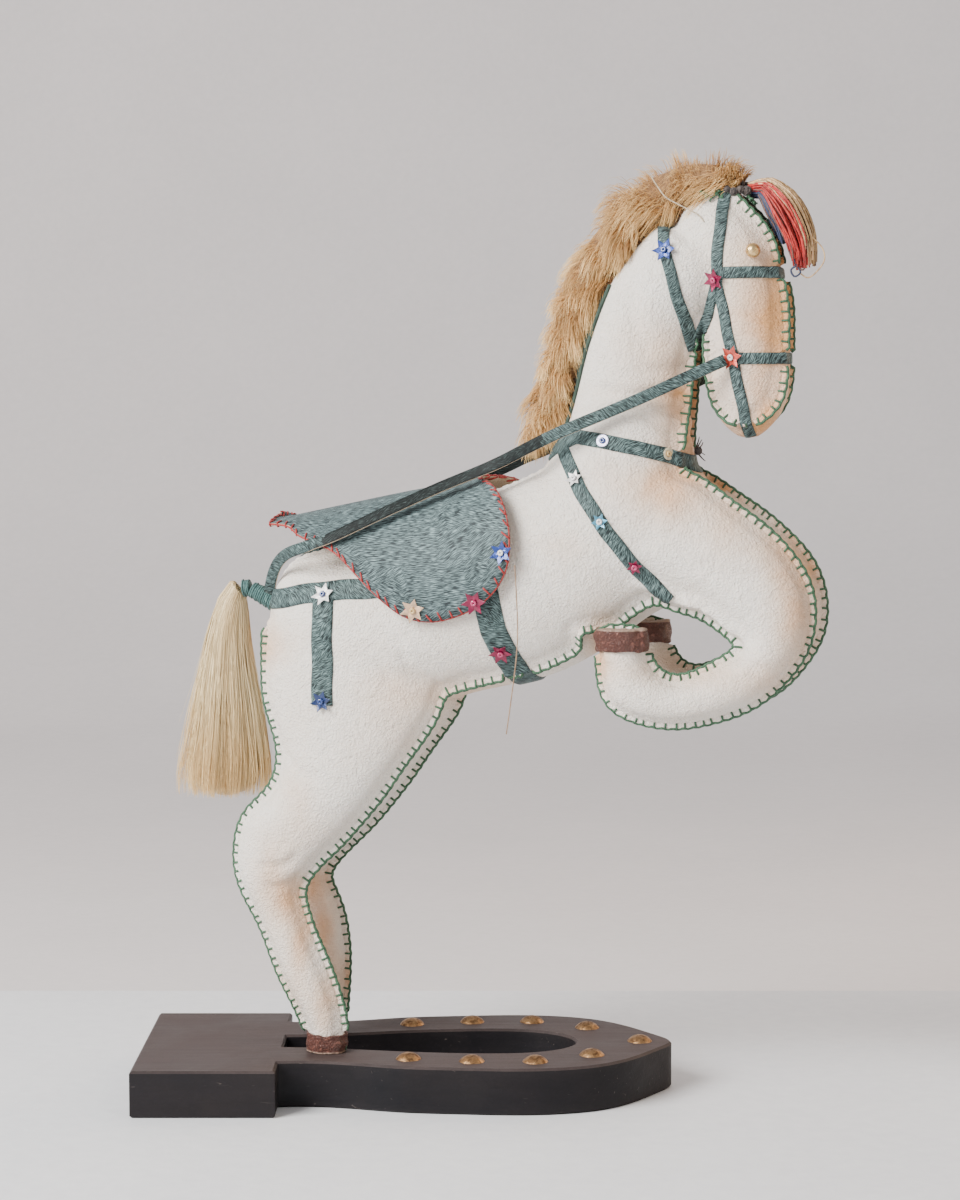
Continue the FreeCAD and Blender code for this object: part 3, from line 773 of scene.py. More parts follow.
def hide_groups(centre):
    """Which faces belong to which leather piece."""
    u, q, z = centre[:, 0], centre[:, 1], centre[:, 2]
    gusset = seam_gap(centre) < 0
    head = inside([(167, 283), (260, 283), (260, 420), (136, 420), (136, 392), (166.2, 345)], u, z)
    throat = inside([(105, 262), (105, 345), (166.2, 345), (167, 283), (260, 283), (260, 262)], u, z)
    return {
        "side_panel_right": ~gusset & (q < 0),
        "side_panel_left": ~gusset & (q >= 0),
        "face_gusset": gusset & head,
        "throat_gusset": gusset & ~head & throat,
        "belly_gusset": gusset & ~head & ~throat,
    }


def folds(p):
    """Shallow folds where the stuffed leather bends: depth in millimetres along the surface's normal."""
    value = np.zeros(len(p))
    for (u1, z1), (u2, z2), width, depth in FOLDS:
        along = np.array([u2 - u1, z2 - z1], dtype=float)
        length = np.linalg.norm(along)
        offset = p[:, [0, 2]] - np.array([u1, z1])
        share = offset @ along / length ** 2
        bow = 2.0 * np.sin(math.pi * np.clip(share, 0, 1))
        across = (offset[:, 0] * -along[1] + offset[:, 1] * along[0]) / length + bow
        reach = np.exp(-(np.clip(np.abs(share - 0.5) - 0.38, 0, None) / 0.16) ** 2)
        value -= depth * reach * np.exp(-(across / width) ** 2)
        value += 0.55 * depth * reach * np.exp(-((across - 2.0 * width) / (1.3 * width)) ** 2)
    return value


FOLDS = [((124, 305), (165, 303), 2.6, 1.0), ((130, 297), (166, 296), 2.2, 0.8),
         ((142, 313), (165, 316), 3.0, 0.8),
         ((145, 293), (169, 286), 2.2, 0.9), ((139, 345), (146, 318), 4.0, 0.8),
         ((44, 194), (60, 179), 2.4, 0.8), ((35, 187), (56, 172), 2.2, 0.7),
         ((-19, 101), (-4, 106), 1.8, 0.7), ((-17, 92), (-3, 97), 1.8, 0.7),
         ((184, 203), (195, 191), 2.6, 0.8), ((171, 236), (196, 228), 3.2, 0.7),
         ((128, 203), (131, 192), 1.6, 0.6),
         ((-10, 150), (6, 140), 2.6, 0.6)]
def packed_under(mesh, depth):
    """The wool's surface: the same form, a given depth under the leather."""
    return vertex_array(mesh) - normal_array(mesh) * depth, face_lists(mesh)


STUFFING_DEPTH = 2.6 * MM
WHITE = white_leather()
STUFFING = [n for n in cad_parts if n.startswith("stuffing_")]
hide = remeshed(list(WHITE_PARTS) + STUFFING, VOXEL)
keep_largest(hide)
softened(hide, 2)
stuff(hide)
inner_points, inner_faces = packed_under(hide, STUFFING_DEPTH)
hide = subdivided(hide)
softened(hide, 1)
hide_points = to_pony(vertex_array(hide))
hide_faces = face_lists(hide)
SEAMS = seam_lines(hide_points, hide_faces)
seam_distance, seam_along = near_seam(hide_points, SEAMS)
pucker = 1 + 0.30 * np.cos(2 * math.pi * seam_along / STITCH_PITCH)
rise = (0.85 * np.exp(-(seam_distance / 1.7) ** 2)
        - 0.50 * np.exp(-((seam_distance - 4.4) / 2.0) ** 2)) * pucker
hide_row = vertex_array(hide) + normal_array(hide) * ((rise + folds(hide_points)) * MM)[:, None]
hide.vertices.foreach_set("co", hide_row.ravel())
hide.update()
hide_normals = normal_array(hide)
# The hide's tan is partly handling marks and partly painted warm shade.
split_hide(hide_row, hide_normals, hide_faces, staining_and_painted_shade(hide_points), hide_groups)
HIDE_TREE = tree_of(hide_row, hide_faces)


# ---- straps ----

def hit(u, q, z, du, dq, dz, tree=None):
    """Where a straight line first meets the hide, with its normal, in the row frame."""
    place, normal, _, _ = (tree or HIDE_TREE).ray_cast(to_row(u, q, z), to_row_dir(du, dq, dz))
    return (np.array(place), np.array(normal)) if place else None


def smooth_line(points, step):
    """A soft curve through the points, at even spacing."""
    points = np.array(points, dtype=float)
    ends = np.vstack([2 * points[0] - points[1], points, 2 * points[-1] - points[-2]])
    curve = []
    for i in range(1, len(ends) - 2):
        a, b, c, d = ends[i - 1:i + 3]
        for t in np.linspace(0, 1, 12, endpoint=False):
            curve.append(0.5 * (2 * b + (c - a) * t + (2 * a - 5 * b + 4 * c - d) * t ** 2
                                + (3 * b - a - 3 * c + d) * t ** 3))
    curve.append(points[-1])
    curve = np.array(curve)
    far = distances(curve)
    at = np.linspace(0, far[-1], max(int(far[-1] / step), 2) + 1)
    return read_at(at, far, curve)


ACROSS = np.array([-1, -0.84, -0.5, 0, 0.5, 0.84, 1]) * 0.5
PROFILE = np.array([0.45, 0.95, 1.0, 1.02, 1.0, 0.95, 0.45])
strap_places = []


def ribbon_mesh(name, places, normals, width, thickness, material, sink=0.35):
    """A closed flat band whose grid of surface places is already known."""
    rows, cols = places.shape[:2]
    top = places + normals * (PROFILE * thickness * MM)[None, :, None]
    low = places - normals * (sink * MM)
    points = np.concatenate([top.reshape(-1, 3), low.reshape(-1, 3)])
    far = distances(places[:, cols // 2])
    uv = np.stack([np.repeat(far, cols), np.tile(ACROSS * width * MM, rows)], axis=1)
    faces, half = [], rows * cols
    for i in range(rows - 1):
        for j in range(cols - 1):
            a = i * cols + j
            faces.append((a, a + 1, a + cols + 1, a + cols))
            faces.append((half + a, half + a + cols, half + a + cols + 1, half + a + 1))
        left, right = i * cols, i * cols + cols - 1
        faces.append((left, left + cols, half + left + cols, half + left))
        faces.append((right, half + right, half + right + cols, right + cols))
    for j in range(cols - 1):
        last = (rows - 1) * cols + j
        faces.append((j, half + j, half + j + 1, j + 1))
        faces.append((last, last + 1, half + last + 1, half + last))
    return add_mesh(name, points, faces, material,
                    uvs=np.concatenate([uv, uv]) + np.array([hash_of(name), 0]))


def hash_of(name):
    """A small number that differs from name to name, and is the same each run."""
    return sum((i + 1) * ord(c) for i, c in enumerate(name)) % 97 * 0.013


def settle(grid_places, grid_normals):
    """Evens a strap out along its length so that it bridges the small hollows."""
    places, normals = grid_places.copy(), grid_normals.copy()
    for _ in range(5):
        normals[1:-1] = 0.25 * normals[:-2] + 0.5 * normals[1:-1] + 0.25 * normals[2:]
        normals[:, 1:-1] = 0.25 * normals[:, :-2] + 0.5 * normals[:, 1:-1] + 0.25 * normals[:, 2:]
    normals = unit(normals)
    smooth = places.copy()
    for _ in range(6):
        smooth[1:-1] = 0.25 * smooth[:-2] + 0.5 * smooth[1:-1] + 0.25 * smooth[2:]
    lift = np.maximum(((smooth - places) * normals).sum(axis=2), 0)
    return places + normals * lift[:, :, None], normals


def finish_strap(name, places, normals, width, material, node, thickness=0.95):
    places, normals = settle(np.array(places), np.array(normals))
    piece = ribbon_mesh(name, places, normals, width, thickness, material)
    strap_places.extend(places.reshape(-1, 3)[::3])
    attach(piece, "root")
    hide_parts(node)
    return piece


def side_strap(name, node, line, width, side, material, wave=0.18):
    """A strap lying on one side of the pony along a line of the upright plane."""
    centre = smooth_line(line, 1.0)
    ahead = unit(np.gradient(centre, axis=0))
    rng = random.Random(name)
    phase, places, normals = rng.uniform(0, 6), [], []
    for i, ((u, z), (du, dz)) in enumerate(zip(centre, ahead)):
        row, shift = [], wave * math.sin(i * 0.33 + phase)
        for across in ACROSS:
            offset = across * width + shift
            row.append(hit(u - dz * offset, side * FROM_SIDE, z + du * offset, 0, -side, 0))
        if all(row):
            places.append([r[0] for r in row])
            normals.append([r[1] for r in row])
        elif places:
            break
    return finish_strap(name, places, normals, width, material, node)


def loop_strap(name, node, line, width, arc, material, reach=90):
    """A strap that goes round the pony; arc is the turn from the left side, through the line's far end."""
    line = np.array(line, dtype=float)
    start, end = line[0], line[-1]
    centre, ahead = (start + end) / 2, (end - start) / np.linalg.norm(end - start)
    over = np.array([-ahead[1], ahead[0]])
    along, off = (line - centre) @ ahead, (line - centre) @ over
    count = int((arc[1] - arc[0]) / 1.6)
    places, normals = [], []
    for angle in np.radians(np.linspace(arc[0], arc[1], count)):
        row = []
        for across in ACROSS:
            at = 0.0
            for _ in range(4):
                shift = np.interp(at, along, off) + across * width
                u, z = centre + over * shift
                dq, ds = math.cos(angle), math.sin(angle)
                du, dz = ahead * ds
                found = hit(u + du * reach, dq * reach, z + dz * reach, -du, -dq, -dz)
                if not found:
                    break
                p = to_pony(found[0])
                at = np.dot([p[0] - centre[0], p[2] - centre[1]], ahead)
            row.append(found)
        if all(row):
            places.append([r[0] for r in row])
            normals.append([r[1] for r in row])
    return finish_strap(name, places, normals, width, material, node)


STRAP_LEATHER = teal_leather("strap_leather", teal=(0.078, 0.118, 0.116), dark=(0.016, 0.023, 0.024),
                             cover=0.50, angles=(34, 66), patches=110)
SIDE_STRAPS = (
    ("chin_strap", "chin_strap", [(174.1, 350), (180.9, 318), (188.5, 279)], 4.8),
    ("cheek_strap", "cheek_strap", [(176.6, 386), (174.1, 348)], 5.0),
    ("jaw_strap", "jaw_strap", [(174.6, 349.5), (164, 320.5)], 4.6),
    ("throat_strap", "throat_strap", [(149, 381), (153.3, 361), (164.8, 318)], 4.9),
    ("breast_strap", "breast_strap",
     [(109, 282.5), (117.7, 267.4), (129.8, 250.4), (143.4, 232.6), (158.5, 216.5)], 6.0),
    ("hip_strap", "hip_strap", [(-31, 214), (-19.4, 214.6), (10.2, 219.6), (48, 222.5)], 8.2),
    ("hip_drop", "hip_drop_strap", [(9.7, 219), (9.2, 171.5)], 9.6),
)
for side, hand in SIDES:
    for stem, node, line, width in SIDE_STRAPS:
        side_strap(stem + "_piece_" + hand, node + "_" + hand, line, width, side, STRAP_LEATHER)
loop_strap("browband_piece", "browband", [(172, 352.2), (215, 352.8)], 4.8, (-56, 236), STRAP_LEATHER)
loop_strap("noseband_piece", "noseband", [(180, 317.4), (215, 317.6)], 4.7, (-60, 240), STRAP_LEATHER)
loop_strap("girth_piece", "girth", [(81, 226), (84.5, 205), (97.5, 170)], 11.2, (-42, 222), STRAP_LEATHER)
loop_strap("collar_piece", "breast_collar",
           [(100, 276), (108, 281.2), (117, 285.2), (128.9, 283.4), (143, 280.6), (154.1, 277.8),
            (178, 268.5)],
           6.0, (-80, 260), STRAP_LEATHER)


# ---- blanket-stitched seams ----

def seam_clearance(rows):
    """0 under a strap or a hoof band, 1 away from them."""
    covers = list(strap_places)
    for name in ("hoof_band_hind_right", "hoof_band_hind_left", "hoof_band_fore_right",
                 "hoof_band_fore_left"):
        covers += list(vertex_array(node_mesh(name)))
    tree = vertex_finder(covers)
    far = np.array([tree.find(Vector(p))[2] for p in rows]) / MM
    return np.clip((far - 0.5) / 1.0, 0, 1)


def seam_frames(line):
    """Along a seam: places on the hide, the direction that the flange stands, and its two faces."""
    rows, sideways = row_array(line), np.array(to_row_dir(0, 1, 0))
    out = np.array([hide_normals[nearest_vertex.find(Vector(p))[1]] for p in rows])
    out = eased(out - sideways * (out @ sideways)[:, None] * FIN_UPRIGHT, 30)
    ahead = unit(np.gradient(rows, axis=0))
    out -= ahead * (out * ahead).sum(axis=1)[:, None]
    out = unit(out)
    return rows, ahead, out, np.cross(ahead, out)


def flange(parts, rows, out, side, heights):
    """The two raw leather edges of a seam, standing proud together."""
    section = [(-1.0, -1.3), (-0.86, 0.35), (-0.74, 0.8), (-0.48, 0.97), (-0.10, 0.93), (0.10, 0.93),
               (0.48, 0.97), (0.74, 0.8), (0.86, 0.35), (1.0, -1.3)]
    points, faces, n = [], [], len(section)
    for p, o, s, h in zip(rows, out, side, heights):
        for across, up in section:
            rise_mm = up * h if up > 0 else up
            points.append(p + s * (across * 0.85 * MM) + o * (rise_mm * MM))
    for i in range(len(rows) - 1):
        for k in range(n - 1):
            a = i * n + k
            faces.append((a, a + n, a + n + 1, a + 1))
    faces.append(tuple(range(n)))
    faces.append(tuple(range((len(rows) - 1) * n, len(rows) * n))[::-1])
    parts.add(points, faces)


def stitches(parts, rows, out, side, heights, ahead, rng):
    """Blanket stitch: a thread on the flange's edge, and a leg down each face at every pitch."""
    step = SEAM_STEP
    run = rows + out * ((heights + 0.12) * MM)[:, None]
    wobble = np.sin(np.arange(len(rows)) * step * 2 * math.pi / STITCH_PITCH)[:, None] * 0.10 * MM
    open_run = heights > 1.2
    start = None
    for i in range(len(rows) + 1):
        if i < len(rows) and open_run[i]:
            start = i if start is None else start
        elif start is not None:
            if i - start > 3:
                parts.add(*tube((run + side * wobble)[start:i], THREAD * 1.25 * MM, 6))
            start = None
    at = rng.uniform(0.5, 3.0)
    while at < (len(rows) - 1) * step:
        i = min(int(round(at / step)), len(rows) - 1)
        if heights[i] > 1.6:
            lean, depth = rng.uniform(-0.5, 0.5), rng.uniform(0.0, 0.7)
            h = heights[i]
            for face in (-1, 1):
                profile = [(0.0, h + 0.10), (0.50, h + 0.06), (0.78, h * 0.80), (0.90, h * 0.40),
                           (0.98, -0.15 - depth), (0.7, -0.9 - depth)]
                leg = [rows[i] + side[i] * (face * a * MM) + out[i] * (b * MM)
                       + ahead[i] * (lean * k / 5 * MM)
                       for k, (a, b) in enumerate(profile)]
                parts.add(*tube(leg, THREAD * 0.92 * MM, 5))
        at += STITCH_PITCH * rng.uniform(0.88, 1.12)


nearest_vertex = vertex_finder(hide_row)
flange_parts, thread_parts = Parts(), Parts()
rng = random.Random(7)
for line in SEAMS:
    if abs(line[:, 1]).max() < 3:
        continue
    rows, ahead, out, side = seam_frames(line)
    clear = seam_clearance(rows)
    ends = np.clip(np.minimum(np.arange(len(rows)), np.arange(len(rows))[::-1]) / 3.0, 0.15, 1)
    ripple = 1 + 0.07 * np.sin(np.arange(len(rows)) * SEAM_STEP * 2 * math.pi / STITCH_PITCH) + 0.05 * np.sin(np.arange(len(rows)) * 0.23)
    heights = FIN_HEIGHT * ripple * clear * ends
    sunk = rows - out * ((1 - clear) * 1.3 * MM)[:, None]
    flange(flange_parts, sunk, out, side, np.maximum(heights, 0.1))
    stitches(thread_parts, rows, out, side, heights, ahead, rng)
flange_piece = flange_parts.build("seam_flange", WHITE)
# The flange takes the same tan, partly real staining and partly painted warm shade.
vertex_values(flange_piece.data, "stain_and_painted_shade", staining_and_painted_shade(to_pony(np.array(flange_parts.points))))
SEAM_THREAD = plain_fibre("seam_thread",
                          [(0.006, 0.026, 0.011), (0.020, 0.082, 0.034), (0.065, 0.175, 0.085)], 2600,
                          rough=0.6)
stitch_piece = thread_parts.build("seam_stitches", SEAM_THREAD)
for piece in (flange_piece, stitch_piece):
    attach(piece, "root")


# ---- saddle cloth ----

ARCH = [((-24, 248), (-24, 203), 40), ((3, 253.8), (3, 190), 39.5), ((35, 260.5), (38, 180), 39),
        ((70, 267.5), (76, 184), 39), ((98, 277.5), (107, 190), 39)]
SADDLE_EDGE = [(65, 266.5), (74.5, 266.4), (81.5, 264.2), (87, 258.8), (91, 251), (92.8, 243), (92.5, 234),
               (89.5, 226), (84, 219.5), (76.5, 214.3),
               (66, 210), (57, 208.6), (48, 210.6), (39.5, 216.7), (30.7, 225), (24, 231), (17.5, 236),
               (10.9, 239.3), (-0.2, 242.6), (-7.3, 246.0), (-17.7, 246.4), (-18.6, 248.9)]
CLOTH = 1.15


def arch_at(t):
    """The arch's centre, upward radius and half width at a place along it."""
    rows = np.array([[*a, *b, w] for a, b, w in ARCH], dtype=float)
    rows = np.vstack([2 * rows[0] - rows[1], rows, 2 * rows[-1] - rows[-2]])
    i = int(min(max(math.floor(t), 0), len(ARCH) - 2))
    f = t - i
    a, b, c, d = rows[i:i + 4]
    v = 0.5 * (2 * b + (c - a) * f + (2 * a - 5 * b + 4 * c - d) * f ** 2
               + (3 * b - a - 3 * c + d) * f ** 3)
    return (v[0:2] + v[2:4]) / 2, (v[0:2] - v[2:4]) / 2, v[4]


def on_arch(u, z):
    """The (place, turn) of the arch that shows at a point of the upright plane."""
    tries = np.linspace(0, 4, 241)
    best = min(tries,
               key=lambda t: abs(np.cross(arch_at(t)[1],
                                          np.array([u,
                                                    z]) - arch_at(t)[0]) / np.linalg.norm(arch_at(t)[1])))
    centre, up, _ = arch_at(best)
    cosine = np.dot(np.array([u, z]) - centre, up) / np.dot(up, up)
    return best, math.acos(min(max(cosine, -1), 1))


def arch_point(t, turn, side, lift=0.0):
    centre, up, half = arch_at(t)
    spread = 1 + lift / 40
    place = centre + up * math.cos(turn) * spread
    return np.array([place[0], side * half * math.sin(turn) * spread, place[1]])


def saddle_grid(columns=120, rows=20):
    """Half of the cloth, from its spine to its cut edge, as a grid of (place, turn)."""
    edge = smooth_line([on_arch(u, z) for u, z in SADDLE_EDGE[:-1]], 0.03)
    edge = np.vstack([edge, [on_arch(*SADDLE_EDGE[-1])[0], 0.0]])
    shown = np.array([arch_point(t, f, 1) for t, f in edge])
    far = distances(shown)
    at = np.linspace(0, far[-1], columns + 1)
    edge = read_at(at, far, edge)
    spine = np.linspace(edge[0, 0], edge[-1, 0], columns + 1)
    share = np.linspace(0, 1, rows + 1)[None, :, None]
    base = np.stack([spine, np.zeros(columns + 1)], axis=1)[:, None, :]
    return base * (1 - share) + edge[:, None, :] * share


def cloth_lift(t, share, side):
    """How far the cloth bows away from the plain arch."""
    wave = 0.7 * math.sin(2.1 * t + side) * share + 0.5 * math.sin(5.3 * t + 1.7 * side) * share ** 2
    tail = 2.2 * math.exp(-((t - 0.15) / 0.35) ** 2) * share
    return 0.3 + wave + 1.0 * share ** 3 + tail


def saddle():
    """The cloth in one piece, painted face out."""
    grid = saddle_grid()
    columns, rows = grid.shape[0], grid.shape[1]
    points, uvs = [], []
    strips = [(-1, j) for j in range(rows - 1, 0, -1)] + [(1, j) for j in range(rows)]
    for i in range(columns):
        for side, j in strips:
            t, turn = grid[i, j]
            p = arch_point(t, turn, side, cloth_lift(t, j / (rows - 1), side))
            points.append(p)
            uvs.append((p[0] * MM, (side * turn * 37 + 90) * MM))
    points, width = np.array(points), len(strips)
    quads = [(i * width + j, i * width + j + 1, (i + 1) * width + j + 1, (i + 1) * width + j)
             for i in range(columns - 1) for j in range(width - 1)]
    rim = ([j for j in range(width)] + [i * width + width - 1 for i in range(1, columns)]
           + [(columns - 1) * width + j for j in range(width - 2, -1,
                                                       -1)] + [i * width for i in range(columns - 2, 0,
                                                       -1)])
    outer = add_mesh("saddle_form", row_array(points), quads)
    normals = normal_array(outer.data)
    bpy.data.objects.remove(outer)
    top = row_array(points)
    if (normals[len(points) // 2][2]) < 0:
        normals, quads = -normals, [q[::-1] for q in quads]
    low = top - normals * CLOTH * MM
    count = len(points)
    faces = quads + [tuple(count + i for i in q[::-1]) for q in quads]
    walls = [(a, count + a, count + b, b) for a, b in zip(rim, rim[1:] + rim[:1])]
    piece = add_mesh("saddle_cloth_piece", np.concatenate([top, low]), faces + walls, SADDLE_LEATHER,
                     uvs=uvs + uvs)
    piece.data.materials.append(RAW_LEATHER)
    for index in range(len(quads), len(faces) + len(walls)):
        piece.data.polygons[index].material_index = 1
    return piece, top, normals, quads, (columns, width)


def edge_stitches(top, normals, shape, parts, rng):
    """Running thread round the cloth's edge and short legs into it."""
    columns, width = shape
    for last, inward in ((width - 1, -1), (0, 1)):
        edge = np.array([top[i * width + last] for i in range(columns)])
        normal = np.array([normals[i * width + last] for i in range(columns)])
        inner = np.array([top[i * width + last + inward * 3] for i in range(columns)])
        away = inner - edge
        away = unit(away)
        far = distances(edge) / MM
        run = edge - normal * (CLOTH * 0.4 * MM) - away * (0.25 * MM)
        parts.add(*tube(eased(run, 2), 0.42 * MM, 6))
        at = 2.0
        while at < far[-1] - 1.5:
            pick = lambda a: read_at(at, far, a)
            e, n, v = pick(edge), pick(normal), pick(away)
            lean = np.cross(n, v) * rng.uniform(-0.9, 0.9)
            length = rng.uniform(3.2, 4.6)
            for face, depth in ((1, 0.0), (-1, CLOTH)):
                line = [e - n * (CLOTH * 0.5 * MM) - v * (0.45 * MM)]
                for share in (0.0, 0.35, 0.75, 1.0):
                    above = 0.30 if share < 1 else -0.25
                    line.append(e + v * (length * share * MM) + lean * (share * MM)
                                + n * ((face * above - depth) * MM))
                parts.add(*tube(line, 0.40 * MM, 5))
            at += rng.uniform(4.3, 5.6)


SADDLE_LEATHER = teal_leather("saddle_leather", teal=(0.098, 0.140, 0.142), dark=(0.026, 0.034, 0.037),
                              cover=0.495, angles=(4, -26, 24), patches=26)
RAW_LEATHER = plain_fibre("raw_leather", [(0.36, 0.26, 0.17), (0.52, 0.40, 0.28), (0.62, 0.52, 0.40)], 1600,
                          rough=0.85, stretch=(1, 1, 1))
RED_THREAD = plain_fibre("red_thread", [(0.12, 0.004, 0.004), (0.30, 0.010, 0.008), (0.44, 0.024, 0.017)],
                         2600, rough=0.6)
saddle_piece, saddle_top, saddle_normals, saddle_quads, saddle_shape = saddle()
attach(saddle_piece, "root")
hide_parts("saddle_cloth")
red_parts = Parts()
edge_stitches(saddle_top, saddle_normals, saddle_shape, red_parts, random.Random(3))
red_piece = red_parts.build("saddle_stitches", RED_THREAD)
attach(red_piece, "root")

# ---- reins ----

REIN_WIDTH = 4.9
REIN_LINE = [(178.4, 316.8, 16.0), (166, 311, 19.5), (145, 301.2, 23.5), (128, 294, 25.5), (111, 287, 26.5),
             (98, 281, 24.5),
             (82, 273.5, 19.0), (60, 264.5, 22), (38, 254, 30), (13.6, 242.0, 36.5), (4.2, 238.8, 34.5),
             (-5.5, 236.3, 28),
             (-13.2, 232.0, 20.5), (-18.6, 224.8, 14), (-21.6, 217, 9)]


def rein_piece(side, hand, tree):
    """A narrow dark strap with a pale cut edge, laid over the withers and the saddle."""
    line = smooth_line([(u, side * q, z) for u, z, q in REIN_LINE], 1.6)
    rows = row_array(line)
    sideways = np.array(to_row_dir(0, side, 0))
    guides = np.zeros_like(rows)
    for _ in range(6):
        for i, p in enumerate(rows):
            near, normal, _, far = tree.find_nearest(Vector(p))
            if i > 0.80 * len(rows):
                guides[i] = sideways
                continue
            signed = (Vector(p) - near).dot(normal)
            weight = math.exp(-max(far / MM - 1.5, 0) / 5)
            guides[i] = np.array(normal) * weight + sideways * (1 - weight)
            if signed < 1.3 * MM and far < 12 * MM and i > 2:
                rows[i] = p + np.array(normal) * (1.3 * MM - signed)
        rows = eased(rows, 3)
    guides = eased(guides, 16)
    ahead = unit(np.gradient(rows, axis=0))
    guides -= ahead * (guides * ahead).sum(axis=1)[:, None]
    guides = unit(guides)
    over = np.cross(guides, ahead)
    places = rows[:, None, :] + over[:, None, :] * (ACROSS * REIN_WIDTH * MM)[None, :, None]
    normals = np.repeat(guides[:, None, :], len(ACROSS), axis=1)
    piece = ribbon_mesh("rein_piece_" + hand, places, normals, REIN_WIDTH, 0.5, REIN_LEATHER, sink=0.5)
    piece.data.materials.append(RAW_LEATHER)
    piece.data.materials.append(DARK_REIN)
    cols = len(ACROSS)
    places_u = to_pony(vertex_array(piece.data))[:, 0]
    for face in piece.data.polygons:
        sides = [v % cols for v in face.vertices]
        middle = places_u[list(face.vertices)].mean()
        if all(s == 0 for s in sides) or all(s == cols - 1 for s in sides):
            face.material_index = 1
        elif 12 < middle < 104:
            face.material_index = 2
    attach(piece, "root")
    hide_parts("rein_" + hand)
    return piece


DARK_REIN = teal_leather("dark_rein", teal=(0.018, 0.026, 0.025), dark=(0.006, 0.008, 0.008), cover=0.54,
                         angles=(12, -16), patches=110)
REIN_LEATHER = teal_leather("rein_leather", teal=(0.070, 0.108, 0.106), dark=(0.014, 0.020, 0.020),
                            cover=0.51, angles=(40, 62), patches=110)
together_points = np.concatenate([hide_row, saddle_top])
together_faces = hide_faces + [tuple(len(hide_row) + i for i in quad) for quad in saddle_quads]
CLOTHED_TREE = tree_of(together_points, together_faces)
for side, hand in SIDES:
    rein_piece(side, hand, CLOTHED_TREE)


# ---- sequins and beads ----

def axes_for(normal):
    """Two directions square to a normal, the first one as level as it can be."""
    n = Vector(normal).normalized()
    across = Vector((0, 0, 1)).cross(n).normalized()
    return np.array(across), np.array(n.cross(across)), np.array(n)


def star_form(place, normal, size, turn):
    """A cupped six-pointed sequin with a hole."""
    a, b, n = axes_for(normal)
    around, rings = 96, (0.14, 0.40, 0.70, 0.93, 1.0)
    tip, notch, half = 1.0, 0.53, math.pi / 6
    points, faces = [], []
    for layer in (0, 1):
        for share in rings:
            for k in range(around):
                angle = 2 * math.pi * k / around
                fold = abs((angle + half) % (2 * half) - half)
                limit = tip * notch * math.sin(half) / (tip * math.sin(fold)
                                                        + notch * math.sin(half - fold))
                radius = size * (share * limit if share > 0.2 else share)
                height = size * (0.15 * (radius / size) ** 2
                                 + 0.05 * share * (1 - fold / half)) - 0.26 * layer
                height += 0.12 * size * max(0, 0.35 - share)
                direction = a * math.cos(angle + turn) + b * math.sin(angle + turn)
                points.append(place + (direction * radius + n * height) * MM)
    count = len(rings) * around
    for r in range(len(rings) - 1):
        for k in range(around):
            p, q = r * around + k, r * around + (k + 1) % around
            faces.append((p, p + around, q + around, q))
            faces.append((count + p, count + q, count + q + around, count + p + around))
    for k in range(around):
        p, q = k, (k + 1) % around
        faces.append((p, q, count + q, count + p))
        p, q = p + count - around, q + count - around
        faces.append((q, p, count + p, count + q))
    return points, faces


def disc_form(place, normal, size):
    """A round sequin with a turned-up rim and a hole."""
    a, b, n = axes_for(normal)
    points, faces, around = [], [], 40
    profile = [(0.24, 0.10), (0.30, 0.22), (0.62, 0.16), (0.90, 0.26), (1.0, 0.20), (0.98, 0.0),
               (0.6, -0.06), (0.24, -0.05)]
    for share, height in profile:
        for k in range(around):
            angle = 2 * math.pi * k / around
            points.append(place
                          + ((a * math.cos(angle) + b * math.sin(angle)) * share * size + n * height) * MM)
    rings = len(profile)
    for r in range(rings):
        for k in range(around):
            p, q = r * around + k, r * around + (k + 1) % around
            up = ((r + 1) % rings) * around
            faces.append((p, up + k, up + (k + 1) % around, q))
    return points, faces


def seed_form(place, normal, major=0.78, minor=0.56):
    """A seed bead lying flat, with its hole outwards."""
    a, b, n = axes_for(normal)
    points, faces, around, tube_sides = [], [], 20, 10
    for k in range(around):
        angle = 2 * math.pi * k / around
        out = a * math.cos(angle) + b * math.sin(angle)
        for m in range(tube_sides):
            t = 2 * math.pi * m / tube_sides
            points.append(place
                          + (out * (major + minor * math.cos(t)) + n * (0.85 * minor * math.sin(t))) * MM)
    for k in range(around):
        for m in range(tube_sides):
            p, q = k * tube_sides + m, k * tube_sides + (m + 1) % tube_sides
            r, s = ((k + 1) % around) * tube_sides + m, ((k + 1) % around) * tube_sides + (m
                                                                                           + 1) % tube_sides
            faces.append((p, r, s, q))
    return points, faces


def coloured(name, groups, body, nodes_replaced):
    """One object from several (parts, material) groups."""
    points, faces, indices, materials = [], [], [], []
    for parts, material in groups:
        start = len(points)
        points.extend(parts.points)
        faces.extend(tuple(start + i for i in face) for face in parts.faces)
        indices.extend([len(materials)] * len(parts.faces))
        materials.append(material)
    obj = add_mesh(name, points, faces)
    for material in materials:
        obj.data.materials.append(material)
    obj.data.polygons.foreach_set("material_index", indices)
    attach(obj, body)
    if nodes_replaced:
        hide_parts(*nodes_replaced)
    return obj


